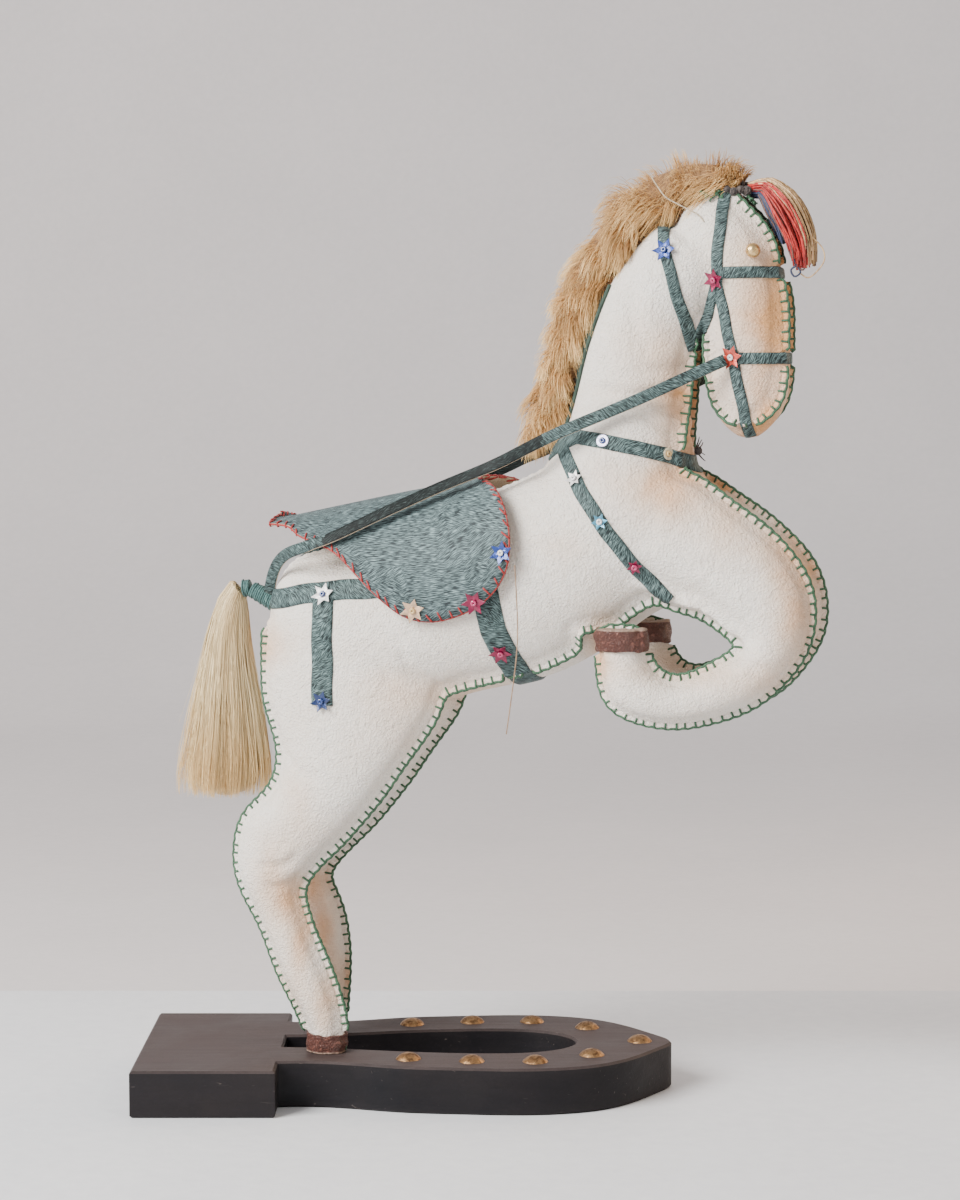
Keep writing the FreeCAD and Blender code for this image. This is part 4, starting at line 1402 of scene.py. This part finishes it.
COLOURS = {
    "blue": (0.018, 0.050, 0.25), "magenta": (0.25, 0.003, 0.050), "coral": (0.62, 0.075, 0.045),
    "white": (0.85, 0.82, 0.80),
    "sky": (0.10, 0.36, 0.52), "navy": (0.008, 0.028, 0.120), "tan": (0.72, 0.48, 0.30),
    "lilac": (0.62, 0.60, 0.82), "cream": (0.78, 0.68, 0.48),
}
SEQUINS = {name: sequin_material("sequin_" + name, colour,
                                 0.15 if name in ("white", "tan") else 0.5) for name,
                                 colour in COLOURS.items()}
SEEDS = {"clear": seed_glass("seed_clear", (0.72, 0.70, 0.70)),
         "rose": seed_glass("seed_rose", (0.45, 0.03, 0.12)),
         "deep": seed_glass("seed_deep", (0.02, 0.05, 0.20)),
         "gold": seed_glass("seed_gold", (0.62, 0.42, 0.18))}
TACK_STARS = [(153.3, 361.4, "blue", "deep", 5.2, 0.10), (174.1, 349.7, "magenta", "rose", 5.0, 0.30),
              (180.8, 318.0, "coral", "clear", 5.2, 0.15),
              (117.7, 267.4, "white", "clear", 3.8, 0.40), (129.8, 250.4, "sky", "clear", 3.6, 0.20),
              (143.4, 232.6, "magenta", "rose", 3.4, 0.25),
              (86.5, 195.9, "magenta", "rose", 5.0, 0.05), (9.9, 217.8, "white", "deep", 5.2, 0.35),
              (9.4, 173.2, "navy", "deep", 4.8, 0.22)]
SADDLE_STARS = [(90.2, 237.5, "blue", "clear", 5.2, 0.45), (78.4, 217.1, "magenta", "rose", 5.4, 0.12),
                (51.8, 213.3, "tan", "gold", 5.4, 0.28)]
COLLAR_RINGS = [(128.9, 283.4, "lilac", "deep", 2.7), (154.1, 278.2, "cream", "gold", 2.6)]


def decorate(side, hand):
    """All the sequins of one side, each held by a bead."""
    by_colour, by_seed = {}, {}
    for places, tree, lift in ((TACK_STARS, HIDE_TREE, 1.75), (SADDLE_STARS, CLOTHED_TREE, 1.0)):
        for u, z, colour, seed, size, turn in places:
            place, normal = hit(u, side * FROM_SIDE, z, 0, -side, 0, tree)
            place = place + normal * lift * MM
            by_colour.setdefault(colour, Parts()).add(*star_form(place, normal, size, turn))
            by_seed.setdefault(seed, Parts()).add(*seed_form(place + normal * 0.75 * MM, normal))
    for u, z, colour, seed, size in COLLAR_RINGS:
        place, normal = hit(u, side * FROM_SIDE, z, 0, -side, 0)
        place = place + normal * 1.25 * MM
        by_colour.setdefault(colour, Parts()).add(*disc_form(place, normal, size))
        by_seed.setdefault(seed, Parts()).add(*seed_form(place + normal * 0.6 * MM, normal))
    coloured("star_sequins_piece_" + hand, [(p, SEQUINS[c]) for c, p in by_colour.items()], "root",
             ["star_sequins_" + hand])
    coloured("seed_beads_piece_" + hand, [(p, SEEDS[c]) for c, p in by_seed.items()], "root",
             ["seed_beads_" + hand])


for side, hand in SIDES:
    decorate(side, hand)


# ---- hoof bands, eyes, knot and dock ----

def wobble(points, scale, strength, seed):
    """A smooth pseudo-random push for each point, from a few turned waves."""
    rng = np.random.RandomState(seed)
    total = np.zeros(len(points))
    for octave in range(3):
        for _ in range(5):
            direction = rng.normal(size=3)
            direction = unit(direction)
            total += np.sin(points @ direction * scale * 2 ** octave + rng.uniform(0,
                                                                                   6.3)) / 2 ** octave / 2.2
    return total * strength


def hoof_band(name, low, high, pale_low):
    """A wrinkled leather band with one pale cut edge."""
    mesh = remeshed([name], 0.42 * MM)
    softened(mesh, 2)
    points = vertex_array(mesh)
    push = wobble(points, 900, 0.16 * MM, len(name)) + wobble(points * np.array([1, 1, 2.5]), 420,
                                                              0.22 * MM, 5)
    points = points + normal_array(mesh) * push[:, None]
    mesh.vertices.foreach_set("co", points.ravel())
    mesh.polygons.foreach_set("use_smooth", [True] * len(mesh.polygons))
    z = points[:, 2] / MM
    edge = np.clip(1 - (z - low) / 1.5, 0, 1) if pale_low else np.clip(1 - (high - z) / 1.4, 0, 1)
    vertex_values(mesh, "pale", edge)
    obj = linked(name + "_piece", mesh)
    mesh.materials.clear()
    mesh.materials.append(BROWN_LEATHER)
    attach(obj, "root")
    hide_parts(name)


BROWN_LEATHER = brown_leather()
for hand in ("right", "left"):
    for part, pale_low in (("hind", True), ("fore", False)):
        node = "hoof_band_%s_%s" % (part, hand)
        (_, _, low), (_, _, high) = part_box(node)
        hoof_band(node, low / MM, high / MM, pale_low)

BRASS_BEAD = metal("brass_bead", (0.83, 0.60, 0.30), (0.45, 0.27, 0.10), 0.20, 700)
for hand in ("right", "left"):
    bead = bpy.data.objects["eye_bead_" + hand]
    bead.data.materials[0] = BRASS_BEAD


def wound(start, end, radius_a, radius_b, pitch, thickness, seed=1):
    """A thread wound round a tapering core."""
    rng = random.Random(seed)
    start, end = np.array(start, dtype=float), np.array(end, dtype=float)
    ahead = (end - start) / np.linalg.norm(end - start)
    across = np.cross(ahead, [0.0, 1.0, 0.0])
    across = unit(across)
    other = np.cross(ahead, across)
    turns = np.linalg.norm(end - start) / pitch
    line = []
    for i in range(int(turns * 22) + 1):
        share = i / (turns * 22)
        angle = 2 * math.pi * share * turns
        radius = radius_a + (radius_b
                             - radius_a) * share + 0.2 * math.sin(angle * 0.37) + rng.uniform(-0.04, 0.04)
        line.append(start + (end - start) * share
                    + (across * math.cos(angle) + other * math.sin(angle)) * radius)
    core = [start + (end - start) * k / 6 for k in range(7)]
    taper = [1 + (radius_b / radius_a - 1) * k / 6 for k in range(7)]
    parts = Parts()
    parts.add(*tube(row_array(line), thickness * MM, 6))
    parts.add(*tube(row_array(core), radius_a * MM, 16, taper))
    return parts


TEAL_THREAD = plain_fibre("teal_thread",
                          [(0.015, 0.045, 0.045), (0.045, 0.115, 0.110), (0.10, 0.20, 0.185)], 1800)
TAN_THREAD = plain_fibre("tan_thread", [(0.25, 0.18, 0.11), (0.48, 0.38, 0.25), (0.62, 0.52, 0.38)], 1800)
dock = wound((-15, 0, 209), (-32.4, 0, 217.9), 4.3, 3.1, 0.95, 0.52).build("crupper_piece", TEAL_THREAD)
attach(dock, "root")
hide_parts("crupper")
tie = wound((-33.4, 0, 218.6), (-36.2, 0, 218.3), 3.2, 3.5, 0.8, 0.42, seed=4).build("tail_binding_piece",
                                                                                     TEAL_THREAD)
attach(tie, "tail_binding")
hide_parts("tail_binding")


def yarn_ball(centre, radius, thickness, loops, seed):
    """A knot: loops of thread drawn tight over each other."""
    rng = np.random.RandomState(seed)
    parts = Parts()
    for _ in range(loops):
        a = rng.normal(size=3)
        a = unit(a)
        b = np.cross(a, rng.normal(size=3))
        b = unit(b)
        c = np.cross(a, b) * rng.uniform(0.7, 1.0)
        angles = np.linspace(0, 2 * math.pi * rng.uniform(0.8, 1.15), 26)
        line = [np.array(centre) + (b * math.cos(t) + c * math.sin(t)) * radius + a * 0.3 * math.sin(2 * t)
                for t in angles]
        parts.add(*tube(row_array(line), thickness * MM, 6))
    return parts


KNOT_THREAD = plain_fibre("knot_thread",
                          [(0.010, 0.008, 0.008), (0.040, 0.029, 0.026), (0.13, 0.10, 0.085)], 1600)
frayed = yarn_ball((165.0, -3, 279.4), 1.35, 0.55, 12, 11)
fray = random.Random(5)
for start, end in (((164, -3, 280), (165.6, -3.4, 285.2)), ((164.6, -4, 279), (167.4, -5, 283)),
                   ((165, -3, 279), (167.8, -2, 277.6)),
                   ((165, -4, 278.5), (168.4, -4.5, 275.2)), ((164, -2, 279), (166.2, -1, 284.0))):
    bend = [fray.uniform(-0.8, 0.8) for _ in range(3)]
    path = [[a + (b - a) * t + c * math.sin(math.pi * t) for a, b,
             c in zip(start, end, bend)] for t in np.linspace(0, 1, 9)]
    frayed.add(*tube(row_array(path), 0.42 * MM, 6, [1 - 0.6 * k / 8 for k in range(9)]))
knot = frayed.build("collar_knot_piece", KNOT_THREAD)
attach(knot, "root")
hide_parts("collar_knot")
poll = Parts()
for seed, (u, q, z,
           radius) in enumerate(((177.3, -7.5, 386.4, 1.2), (180.0, -7.4, 385.6, 1.4),
                                 (182.6, -6.4, 386.4, 1.3), (185.0, -5.2, 386.0, 1.7),
                                 (183.5, 3, 388.0, 1.9), (181, -1, 388.5, 2.2))):
    ball = yarn_ball((u, q, z), radius, 0.5, 11, 20 + seed)
    poll.add(ball.points, ball.faces)
poll_piece = poll.build("poll_knots", KNOT_THREAD)
ends = Parts()
fray = random.Random(9)
for u, q, z in ((169.0, -9.2, 384.5), (171.6, -9, 383.6), (173.6, -8.6, 385.4), (167.5, -9.4, 385.5),
                (175.5, -8, 384.5), (186.5, -5.4, 383.0), (188.0, -4.8, 381.4)):
    for _ in range(4):
        lean = [fray.uniform(-1.6, 1.6), fray.uniform(-1.2, 0.2), fray.uniform(-2.2, 1.0)]
        path = [[u + lean[0] * t, q + lean[1] * math.sin(3 * t), z + lean[2] * t] for t in np.linspace(-1,
                                                                                                       1, 8)]
        ends.add(*tube(row_array(path), 0.42 * MM, 6))
ends_piece = ends.build("poll_ends", SEAM_THREAD)
for piece in (poll_piece, ends_piece):
    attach(piece, "root")


# ---- hair ----

def stations_at(stations, count):
    """Centre, half depth and half width along a row of stations, smoothly joined, in the pony's frame."""
    rows = smooth_line([[*a, *b, w] for a, b, w in stations], 0.5)
    far = np.linspace(0, len(rows) - 1, count)
    rows = read_at(far, np.arange(len(rows)), rows)
    a = np.stack([rows[:, 0], np.zeros(count), rows[:, 1]], axis=1)
    b = np.stack([rows[:, 2], np.zeros(count), rows[:, 3]], axis=1)
    return (a + b) / 2, (a - b) / 2, rows[:, 4]


def strand_mesh(name, paths, widths, locks, material, body, taper=0.85):
    """Many tapering three-sided hairs in one mesh, with 'along' and 'lock' attributes for their colour."""
    paths = np.asarray(paths)
    count, steps = paths.shape[:2]
    rows = row_array(paths)
    ahead = unit(np.gradient(rows, axis=1))
    rng = np.random.RandomState(count)
    guide = rng.normal(size=(count, 1, 3))
    side = np.cross(ahead, guide)
    side = unit(side)
    up = np.cross(ahead, side)
    shape = 1 - taper * np.linspace(0, 1, steps) ** 2.2
    radius = np.asarray(widths)[:, None] * shape[None, :] * MM / 2
    corners = []
    for k in range(3):
        t = 2 * math.pi * k / 3
        corners.append(rows + (side * math.cos(t) + up * math.sin(t)) * radius[:, :, None])
    points = np.stack(corners, axis=2).reshape(-1, 3)
    base = (np.arange(count) * steps * 3)[:, None, None] + (np.arange(steps - 1) * 3)[None, :, None]
    a = base + np.arange(3)[None, None, :]
    b = base + (np.arange(3)[None, None, :] + 1) % 3
    quads = np.stack([a, b, b + 3, a + 3], axis=-1).reshape(-1, 4)
    mesh = bpy.data.meshes.new(name)
    mesh.from_pydata(points, [], quads.tolist())
    mesh.polygons.foreach_set("use_smooth", [True] * len(mesh.polygons))
    along = np.tile(np.repeat(np.linspace(0, 1, steps), 3), count)
    vertex_values(mesh, "along", along)
    vertex_values(mesh, "lock", np.repeat(np.asarray(locks, dtype=float), steps * 3))
    mesh.materials.append(material)
    obj = linked(name, mesh)
    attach(obj, body)
    return obj


def core_mesh(name, stations, shrink, material, body, bumps=0.6):
    """The mass of hair behind the strands, as a slightly lumpy form."""
    centre, depth, half = stations_at(stations, 40)
    points, around = [], 28
    for i in range(40):
        close = shrink * min(1, math.sqrt(max(1 - (2 * i / 39 - 1) ** 10, 0.02)))
        for k in range(around):
            t = 2 * math.pi * k / around
            lump = 1 + 0.05 * bumps * math.sin(5 * t + i * 0.4)
            points.append(centre[i] + depth[i] * math.cos(t) * close * lump + np.array([0,
                                                                                        half[i] * math.sin(t) * close * lump, 0]))
    faces = [(i * around + k, i * around + (k + 1) % around, (i + 1) * around + (k + 1) % around,
              (i + 1) * around + k)
             for i in range(39) for k in range(around)]
    faces += [tuple(range(around))[::-1], tuple(range(39 * around, 40 * around))]
    obj = add_mesh(name, row_array(points), faces, material)
    for key, value in (("along", 0.15), ("lock", 0.2)):
        vertex_values(obj.data, key, [value] * len(points))
    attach(obj, body)
    return obj


TAIL_STATIONS = [((-41.5, 221.5), (-36.6, 214.5), 3.4), ((-47.5, 214), (-35.4, 208), 6.0),
                 ((-52.5, 200), (-34.4, 197), 8),
                 ((-57, 181), (-31.5, 179), 9.5), ((-61, 160), (-28, 159), 11),
                 ((-65, 138), (-25.5, 138), 12.5), ((-64, 127), (-27, 127), 12.5)]
MANE_STATIONS = [((184.5, 396), (180, 384), 6), ((174, 401.5), (171, 381), 9),
                 ((157, 402.5), (160, 374), 10), ((136, 394), (147, 367), 10),
                 ((121, 378.5), (137, 357), 10), ((108, 360), (128.5, 345), 10),
                 ((101, 339), (121.5, 331), 10), ((94.5, 317), (117, 314), 10),
                 ((90, 299), (113.5, 298), 9.5), ((92, 285.5), (109, 290.5), 7)]
TASSEL_STATIONS = [((185.4, 389.8), (185.6, 383.8), 3.4), ((194.8, 391.0), (189.6, 383.2), 6.5),
                   ((204.0, 385.6), (193.4, 374.8), 9.5),
                   ((209.8, 376.4), (197.4, 366.4), 10.0), ((213.0, 366.0), (200.6, 359.0), 9.5),
                   ((213.2, 355.5), (201.8, 352.5), 8.5)]
TASSEL_LOOPS = [[(206, -5, 372), (209.3, -5, 368.3), (212.5, -5, 366.4), (216.6, -5, 361.8),
                 (216.8, -5, 356.3), (211.1, -5, 350.4), (206.5, -4.5, 352.7)],
                [(203.5, -5, 361), (205.6, -6, 356), (207.6, -6, 352.6), (205.2, -6, 350.8),
                 (203.6, -5.5, 353.5), (206.2, -5.5, 355.5)],
                [(201.0, -4, 366), (203.2, -5.5, 360), (205.8, -6, 355.2), (208.6, -6, 353.4),
                 (209.4, -5, 356.2), (206.5, -4.5, 358)]]


def tail_strands(count, rng):
    """Long straight hair gathered in locks, uneven at its ends, with a few stray hairs."""
    steps = 12
    centre, depth, half = stations_at(TAIL_STATIONS, 60)
    known = np.arange(60)
    locks = 70
    lock_at = rng.uniform(0, 2 * math.pi, locks), np.sqrt(rng.uniform(0.02, 1, locks))
    lock_tone = rng.uniform(0, 1, locks)
    bend = rng.normal(size=(locks, 2)) * 1.6
    paths, widths, tones = [], [], []
    share = np.linspace(0, 1, steps)
    for _ in range(count):
        lock = rng.randint(locks)
        stray = rng.uniform() < 0.035
        x = lock_at[1][lock] * math.cos(lock_at[0][lock])
        y = lock_at[1][lock] * math.sin(lock_at[0][lock])
        jitter = rng.normal(size=2) * 0.16
        end = rng.uniform(0.86, 1.0) if not stray else rng.uniform(0.6, 1.0)
        at = share * end * 59
        c, d = read_at(at, known, centre), read_at(at, known, depth)
        w = np.interp(at, known, half)
        gather = 1 - 0.35 * share
        px, py = x + jitter[0] * gather, y + jitter[1] * gather
        norm = np.maximum(1, np.sqrt(px ** 2 + py ** 2) / 1.02)
        px, py = px / norm, py / norm
        path = c + d * px[:, None]
        path[:, 1] += w * py
        path[:, 0] += bend[lock][0] * share ** 2 + (rng.normal() * 0.5) * np.sin(share * 7 + lock)
        path[:, 1] += bend[lock][1] * share ** 2
        if stray:
            path[:, 0] -= rng.uniform(0, 7) * share ** 1.7
            path[:, 1] += rng.normal() * 3.5 * share ** 1.5
        paths.append(path)
        widths.append(rng.uniform(0.16, 0.34) if not stray else 0.14)
        tones.append(np.clip(0.75 * lock_tone[lock] + 0.25 * rng.uniform(), 0, 1))
    return paths, widths, tones


def mane_strands(count, rng):
    """Plush fur in clumps that stand off the crest and fall down and forward."""
    steps = 6
    centre, depth, half = stations_at(MANE_STATIONS, 100)
    known = np.arange(100)
    clumps = 360
    clump_s = rng.uniform(0.0, 1.0, clumps)
    clump_turn = rng.uniform(-2.15, 2.15, clumps)
    clump_reach = rng.uniform(0.78, 1.12, clumps)
    clump_fall = rng.uniform(3, 13, clumps)
    clump_tone = np.clip(rng.normal(0.46, 0.34, clumps), 0, 1)
    clump_sweep = rng.normal(size=(clumps, 3)) * 1.8
    order = np.argsort(clump_s)
    paths, widths, tones = [], [], []
    t = np.linspace(0, 1, steps)[:, None]
    for _ in range(count):
        k = order[rng.randint(clumps)]
        s = np.clip(clump_s[k] + rng.normal() * 0.012, 0, 1)
        turn = clump_turn[k] + rng.normal() * 0.20
        i = s * 99
        c, d, w = read_at(i, known, centre), read_at(i, known, depth), np.interp(i, known, half)
        ahead = unit(read_at(min(i + 3, 99), known, centre) - read_at(max(i - 3, 0), known, centre))
        root = c - d * rng.uniform(0.35,
                                   0.95) + np.array([0, w * 0.55 * math.sin(turn) + rng.normal() * 0.6, 0])
        crown = math.exp(-(s / 0.24) ** 2)
        lobes = 1 + 0.12 * math.sin(21 * s + 0.9) + 0.10 * crown
        reach = clump_reach[k] * rng.uniform(0.9, 1.05) * lobes
        out = c + d * math.cos(turn) * reach + np.array([0, w * math.sin(turn) * reach, 0])
        forward = -d / np.linalg.norm(d) * (5.5 * abs(math.sin(turn)))
        upward = crown * max(math.cos(turn), 0)
        fall = ahead * clump_fall[k] * (1 - 1.35 * upward) + forward + np.array([0, 0, -2.0 + 2.5 * upward])
        tip = out + fall + clump_sweep[k] * 0.9 + rng.normal(size=3) * 0.55
        paths.append((1 - t) ** 2 * root + 2 * t * (1 - t) * out + t ** 2 * tip)
        widths.append(rng.uniform(0.20, 0.36))
        tones.append(np.clip(clump_tone[k] + rng.normal() * 0.10, 0, 1))
    return paths, widths, tones


def tassel_threads(count, rng):
    """Thick threads, gathered at the root: navy inside, then red, cream and tan outside."""
    steps = 12
    centre, depth, half = stations_at(TASSEL_STATIONS, 60)
    known = np.arange(60)
    groups = {"red": [], "cream": [], "navy": [], "dark": [], "tan": []}
    share = np.linspace(0, 1, steps)
    for _ in range(count):
        turn, far = rng.uniform(0, 2 * math.pi), math.sqrt(rng.uniform(0.05, 1))
        x, y, pick = far * math.cos(turn), far * math.sin(turn), rng.uniform()
        end = rng.uniform(0.78, 1.0)
        if x < -0.50:
            colour, end = "navy" if pick < 0.8 else "dark", rng.uniform(0.45, 0.72)
        elif x < 0.34:
            colour = "red" if pick < 0.93 else "dark"
        elif x < 0.62:
            colour = "cream" if pick < 0.50 else "red"
        else:
            colour = "tan" if pick < 0.62 else "cream" if pick < 0.85 else "dark"
        at = share * end * 59
        c, d = read_at(at, known, centre), read_at(at, known, depth)
        w = np.interp(at, known, half)
        path = c + d * x
        path[:, 1] += w * y
        path[:, 0] += rng.normal() * 0.45 * np.sin(share * 5 + x)
        path[:, 1] += rng.normal() * 0.8 * np.sin(share * 4 + y)
        path[:, 2] += rng.normal() * 0.4 * np.sin(share * 9)
        groups[colour].append(path)
    for line, colour in zip(TASSEL_LOOPS, ("tan", "navy", "dark")):
        groups[colour].append(smooth_line(line, 0.8))
    return groups


TAIL_HAIR = hair_material("flax_hair", (0.66, 0.50, 0.27), (0.84, 0.66, 0.37), (0.78, 0.53, 0.23), 0.38)
# The mane's dark brown roots are painted shade among the clumps.
MANE_HAIR = hair_material("gold_fur", (0.12, 0.048, 0.012), (0.50, 0.235, 0.058), (0.82, 0.54, 0.22), 0.52)
rng = np.random.RandomState(21)
tail_piece = strand_mesh("tail_hair_piece", *tail_strands(TAIL_HAIRS, rng), TAIL_HAIR, "tail_hair",
                         taper=0.6)
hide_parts("tail_hair")
core_mesh("tail_core", TAIL_STATIONS, 0.80, TAIL_HAIR, "tail_hair")
mane_paths, mane_widths, mane_tones = mane_strands(MANE_HAIRS, rng)
mane_one = strand_mesh("mane_piece", mane_paths[::2], mane_widths[::2], mane_tones[::2], MANE_HAIR, "root",
                       taper=0.75)
strand_mesh("mane_piece_second", mane_paths[1::2], mane_widths[1::2], mane_tones[1::2], MANE_HAIR, "root",
            taper=0.75)
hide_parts("mane")
# The mane core is dark brown: painted shade in the hollows among the hairs.
MANE_CORE_SHADE = plain_fibre("mane_core_shade", [(0.10, 0.045, 0.014), (0.20, 0.095, 0.030), (0.34, 0.18, 0.065)],
                         1500, rough=0.8)
core_mesh("mane_core", MANE_STATIONS, 0.60, MANE_CORE_SHADE, "root")
MANE_EDGE = [(127.5, 348.5), (122.6, 335.6), (118.6, 323.6), (116.2, 315.2), (113.8, 305.9), (111.4, 296.6),
             (109.5, 290.5)]
edging = Parts()
for side in (-1, 1):
    for drop in (0.0, 1.3):
        line = []
        for u, z in smooth_line([(u, z) for u, z in MANE_EDGE], 1.2):
            found = hit(u + drop, side * 60, z - 0.5 * drop, 0, -side, 0)
            if found:
                line.append(found[0] + found[1] * 0.6 * MM)
        edging.add(*tube(np.array(line), 0.85 * MM, 7))
edging_piece = edging.build("mane_edging", GREEN_THREAD)
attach(edging_piece, "root")
STRAY = [(146.3, -12, 392.4), (149.2, -13, 388.2), (152.9, -13.4, 383.5), (158.6, -13.2, 380.2),
         (166.0, -12.8, 376.3), (169.0, -12.6, 373.0)]
stray = Parts()
stray.add(*tube(row_array(smooth_line(STRAY, 1.5)), 0.28 * MM, 6))
stray_piece = stray.build("mane_stray_thread", TAN_THREAD)
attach(stray_piece, "root")
TASSEL_THREADS = {
    "red": plain_fibre("tassel_red", [(0.17, 0.004, 0.004), (0.40, 0.012, 0.008), (0.60, 0.045, 0.024)],
                       1500, rough=0.55),
    "cream": plain_fibre("tassel_cream", [(0.50, 0.26, 0.11), (0.72, 0.46, 0.24), (0.82, 0.62, 0.40)], 1500,
                         rough=0.55),
    "navy": plain_fibre("tassel_navy", [(0.006, 0.010, 0.030), (0.016, 0.028, 0.075), (0.04, 0.06, 0.13)],
                        1500, rough=0.55),
    "dark": plain_fibre("tassel_dark", [(0.035, 0.018, 0.015), (0.10, 0.045, 0.035), (0.20, 0.09, 0.06)],
                        1500, rough=0.6),
    "tan": plain_fibre("tassel_tan", [(0.20, 0.11, 0.045), (0.40, 0.24, 0.10), (0.58, 0.40, 0.20)], 1500,
                       rough=0.6),
}
tassel_groups = []
for colour, paths in tassel_threads(TASSEL_COUNT, rng).items():
    parts = Parts()
    for path in paths:
        parts.add(*tube(row_array(path), rng.uniform(0.26, 0.44) * MM, 6))
    tassel_groups.append((parts, TASSEL_THREADS[colour]))
coloured("forelock_tassel_piece", tassel_groups, "tassel", ["forelock_tassel"])

# ---- board and tacks ----

DARK_WOOD = dark_wood()
bpy.data.objects["base_board"].data.materials[0] = DARK_WOOD
OLD_BRASS = metal("old_brass", (0.42, 0.25, 0.12), (0.13, 0.07, 0.035), 0.34, 420)
bpy.data.objects["brass_tacks"].data.materials[0] = OLD_BRASS
STEEL = metal("steel", (0.55, 0.56, 0.57), (0.30, 0.28, 0.27), 0.35)
WOOL = plain_fibre("stuffing_wool", [(0.45, 0.40, 0.33), (0.62, 0.57, 0.48)], 700, stretch=(1, 1, 1),
                   depth=0.0004)
wool_piece = add_mesh("stuffing_wool_piece", inner_points, inner_faces, WOOL)
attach(wool_piece, "root")
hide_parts(*STUFFING)
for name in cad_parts:
    if name.endswith("_rod") or "_rod_" in name or "_wire_" in name:
        bpy.data.objects[name].data.materials[0] = STEEL


# ---- floor, backdrop and light ----

def stage_material(name, low, high):
    """Plain painted surface with faint dust."""
    look = Look(name)
    cloud, speck = look.noise(6, 5, 0.3), look.noise(130, 4)
    look.shade(Base_Color=look.ramp(look.mix(0.5, cloud, speck), [(0.35, low), (0.65, high)]),
               Roughness=0.6)
    look.bumps((speck, 0.0002))
    return look.material


def sheet_along(name, outline, material):
    """A wide surface from its (y, z) outline in metres."""
    points, faces = [], []
    for y, z in outline:
        points += [(-4.0, y, z), (4.0, y, z)]
    for i in range(len(outline) - 1):
        faces.append((2 * i, 2 * i + 1, 2 * i + 3, 2 * i + 2))
    surface = add_mesh(name, points, faces, material)


def stage():
    """A pale table, and a warm grey floor behind it that sweeps up into a wall."""
    table_top = [(-2.4, 0.0), (0.196, 0.0), (0.200, -0.001), (0.202, -0.004), (0.202, -0.03)]
    sheet_along("table_top", table_top,
                stage_material("pale_table", (0.74, 0.745, 0.77), (0.82, 0.825, 0.84)))
    wall = smooth_line([(0.15, -0.03), (1.2, -0.03), (1.6, 0.03), (1.9, 0.22), (2.1, 0.6), (2.15, 1.2),
                        (2.15, 3.0)], 0.02)
    sheet_along("wall", wall, stage_material("warm_wall", (0.69, 0.645, 0.635), (0.74, 0.69, 0.68)))


def area_light(name, place, target, size, power, colour):
    light = bpy.data.lights.new(name, "AREA")
    light.shape = "RECTANGLE"
    light.size, light.size_y = size
    light.energy = power
    light.color = colour
    obj = linked(name, light)
    obj.location = place
    obj.rotation_euler = (Vector(target) - Vector(place)).to_track_quat("-Z", "Y").to_euler()


stage()
area_light("window", (-1.25, -0.95, 1.15), (0, 0, 0.2), (1.1, 1.0), 90, (1.0, 0.985, 0.96))
area_light("room", (1.3, -0.9, 0.7), (0, 0, 0.22), (1.2, 1.2), 5, (1.0, 0.84, 0.66))
area_light("lamp", (0.9, 0.55, 0.55), (0.1, 0, 0.25), (0.5, 0.9), 4, (1.0, 0.66, 0.36))
world = bpy.data.worlds.new("soft_room")
world.use_nodes = True
world.node_tree.nodes["Background"].inputs["Color"].default_value = (0.86, 0.88, 0.92, 1)
world.node_tree.nodes["Background"].inputs["Strength"].default_value = 0.67
bpy.context.scene.world = world
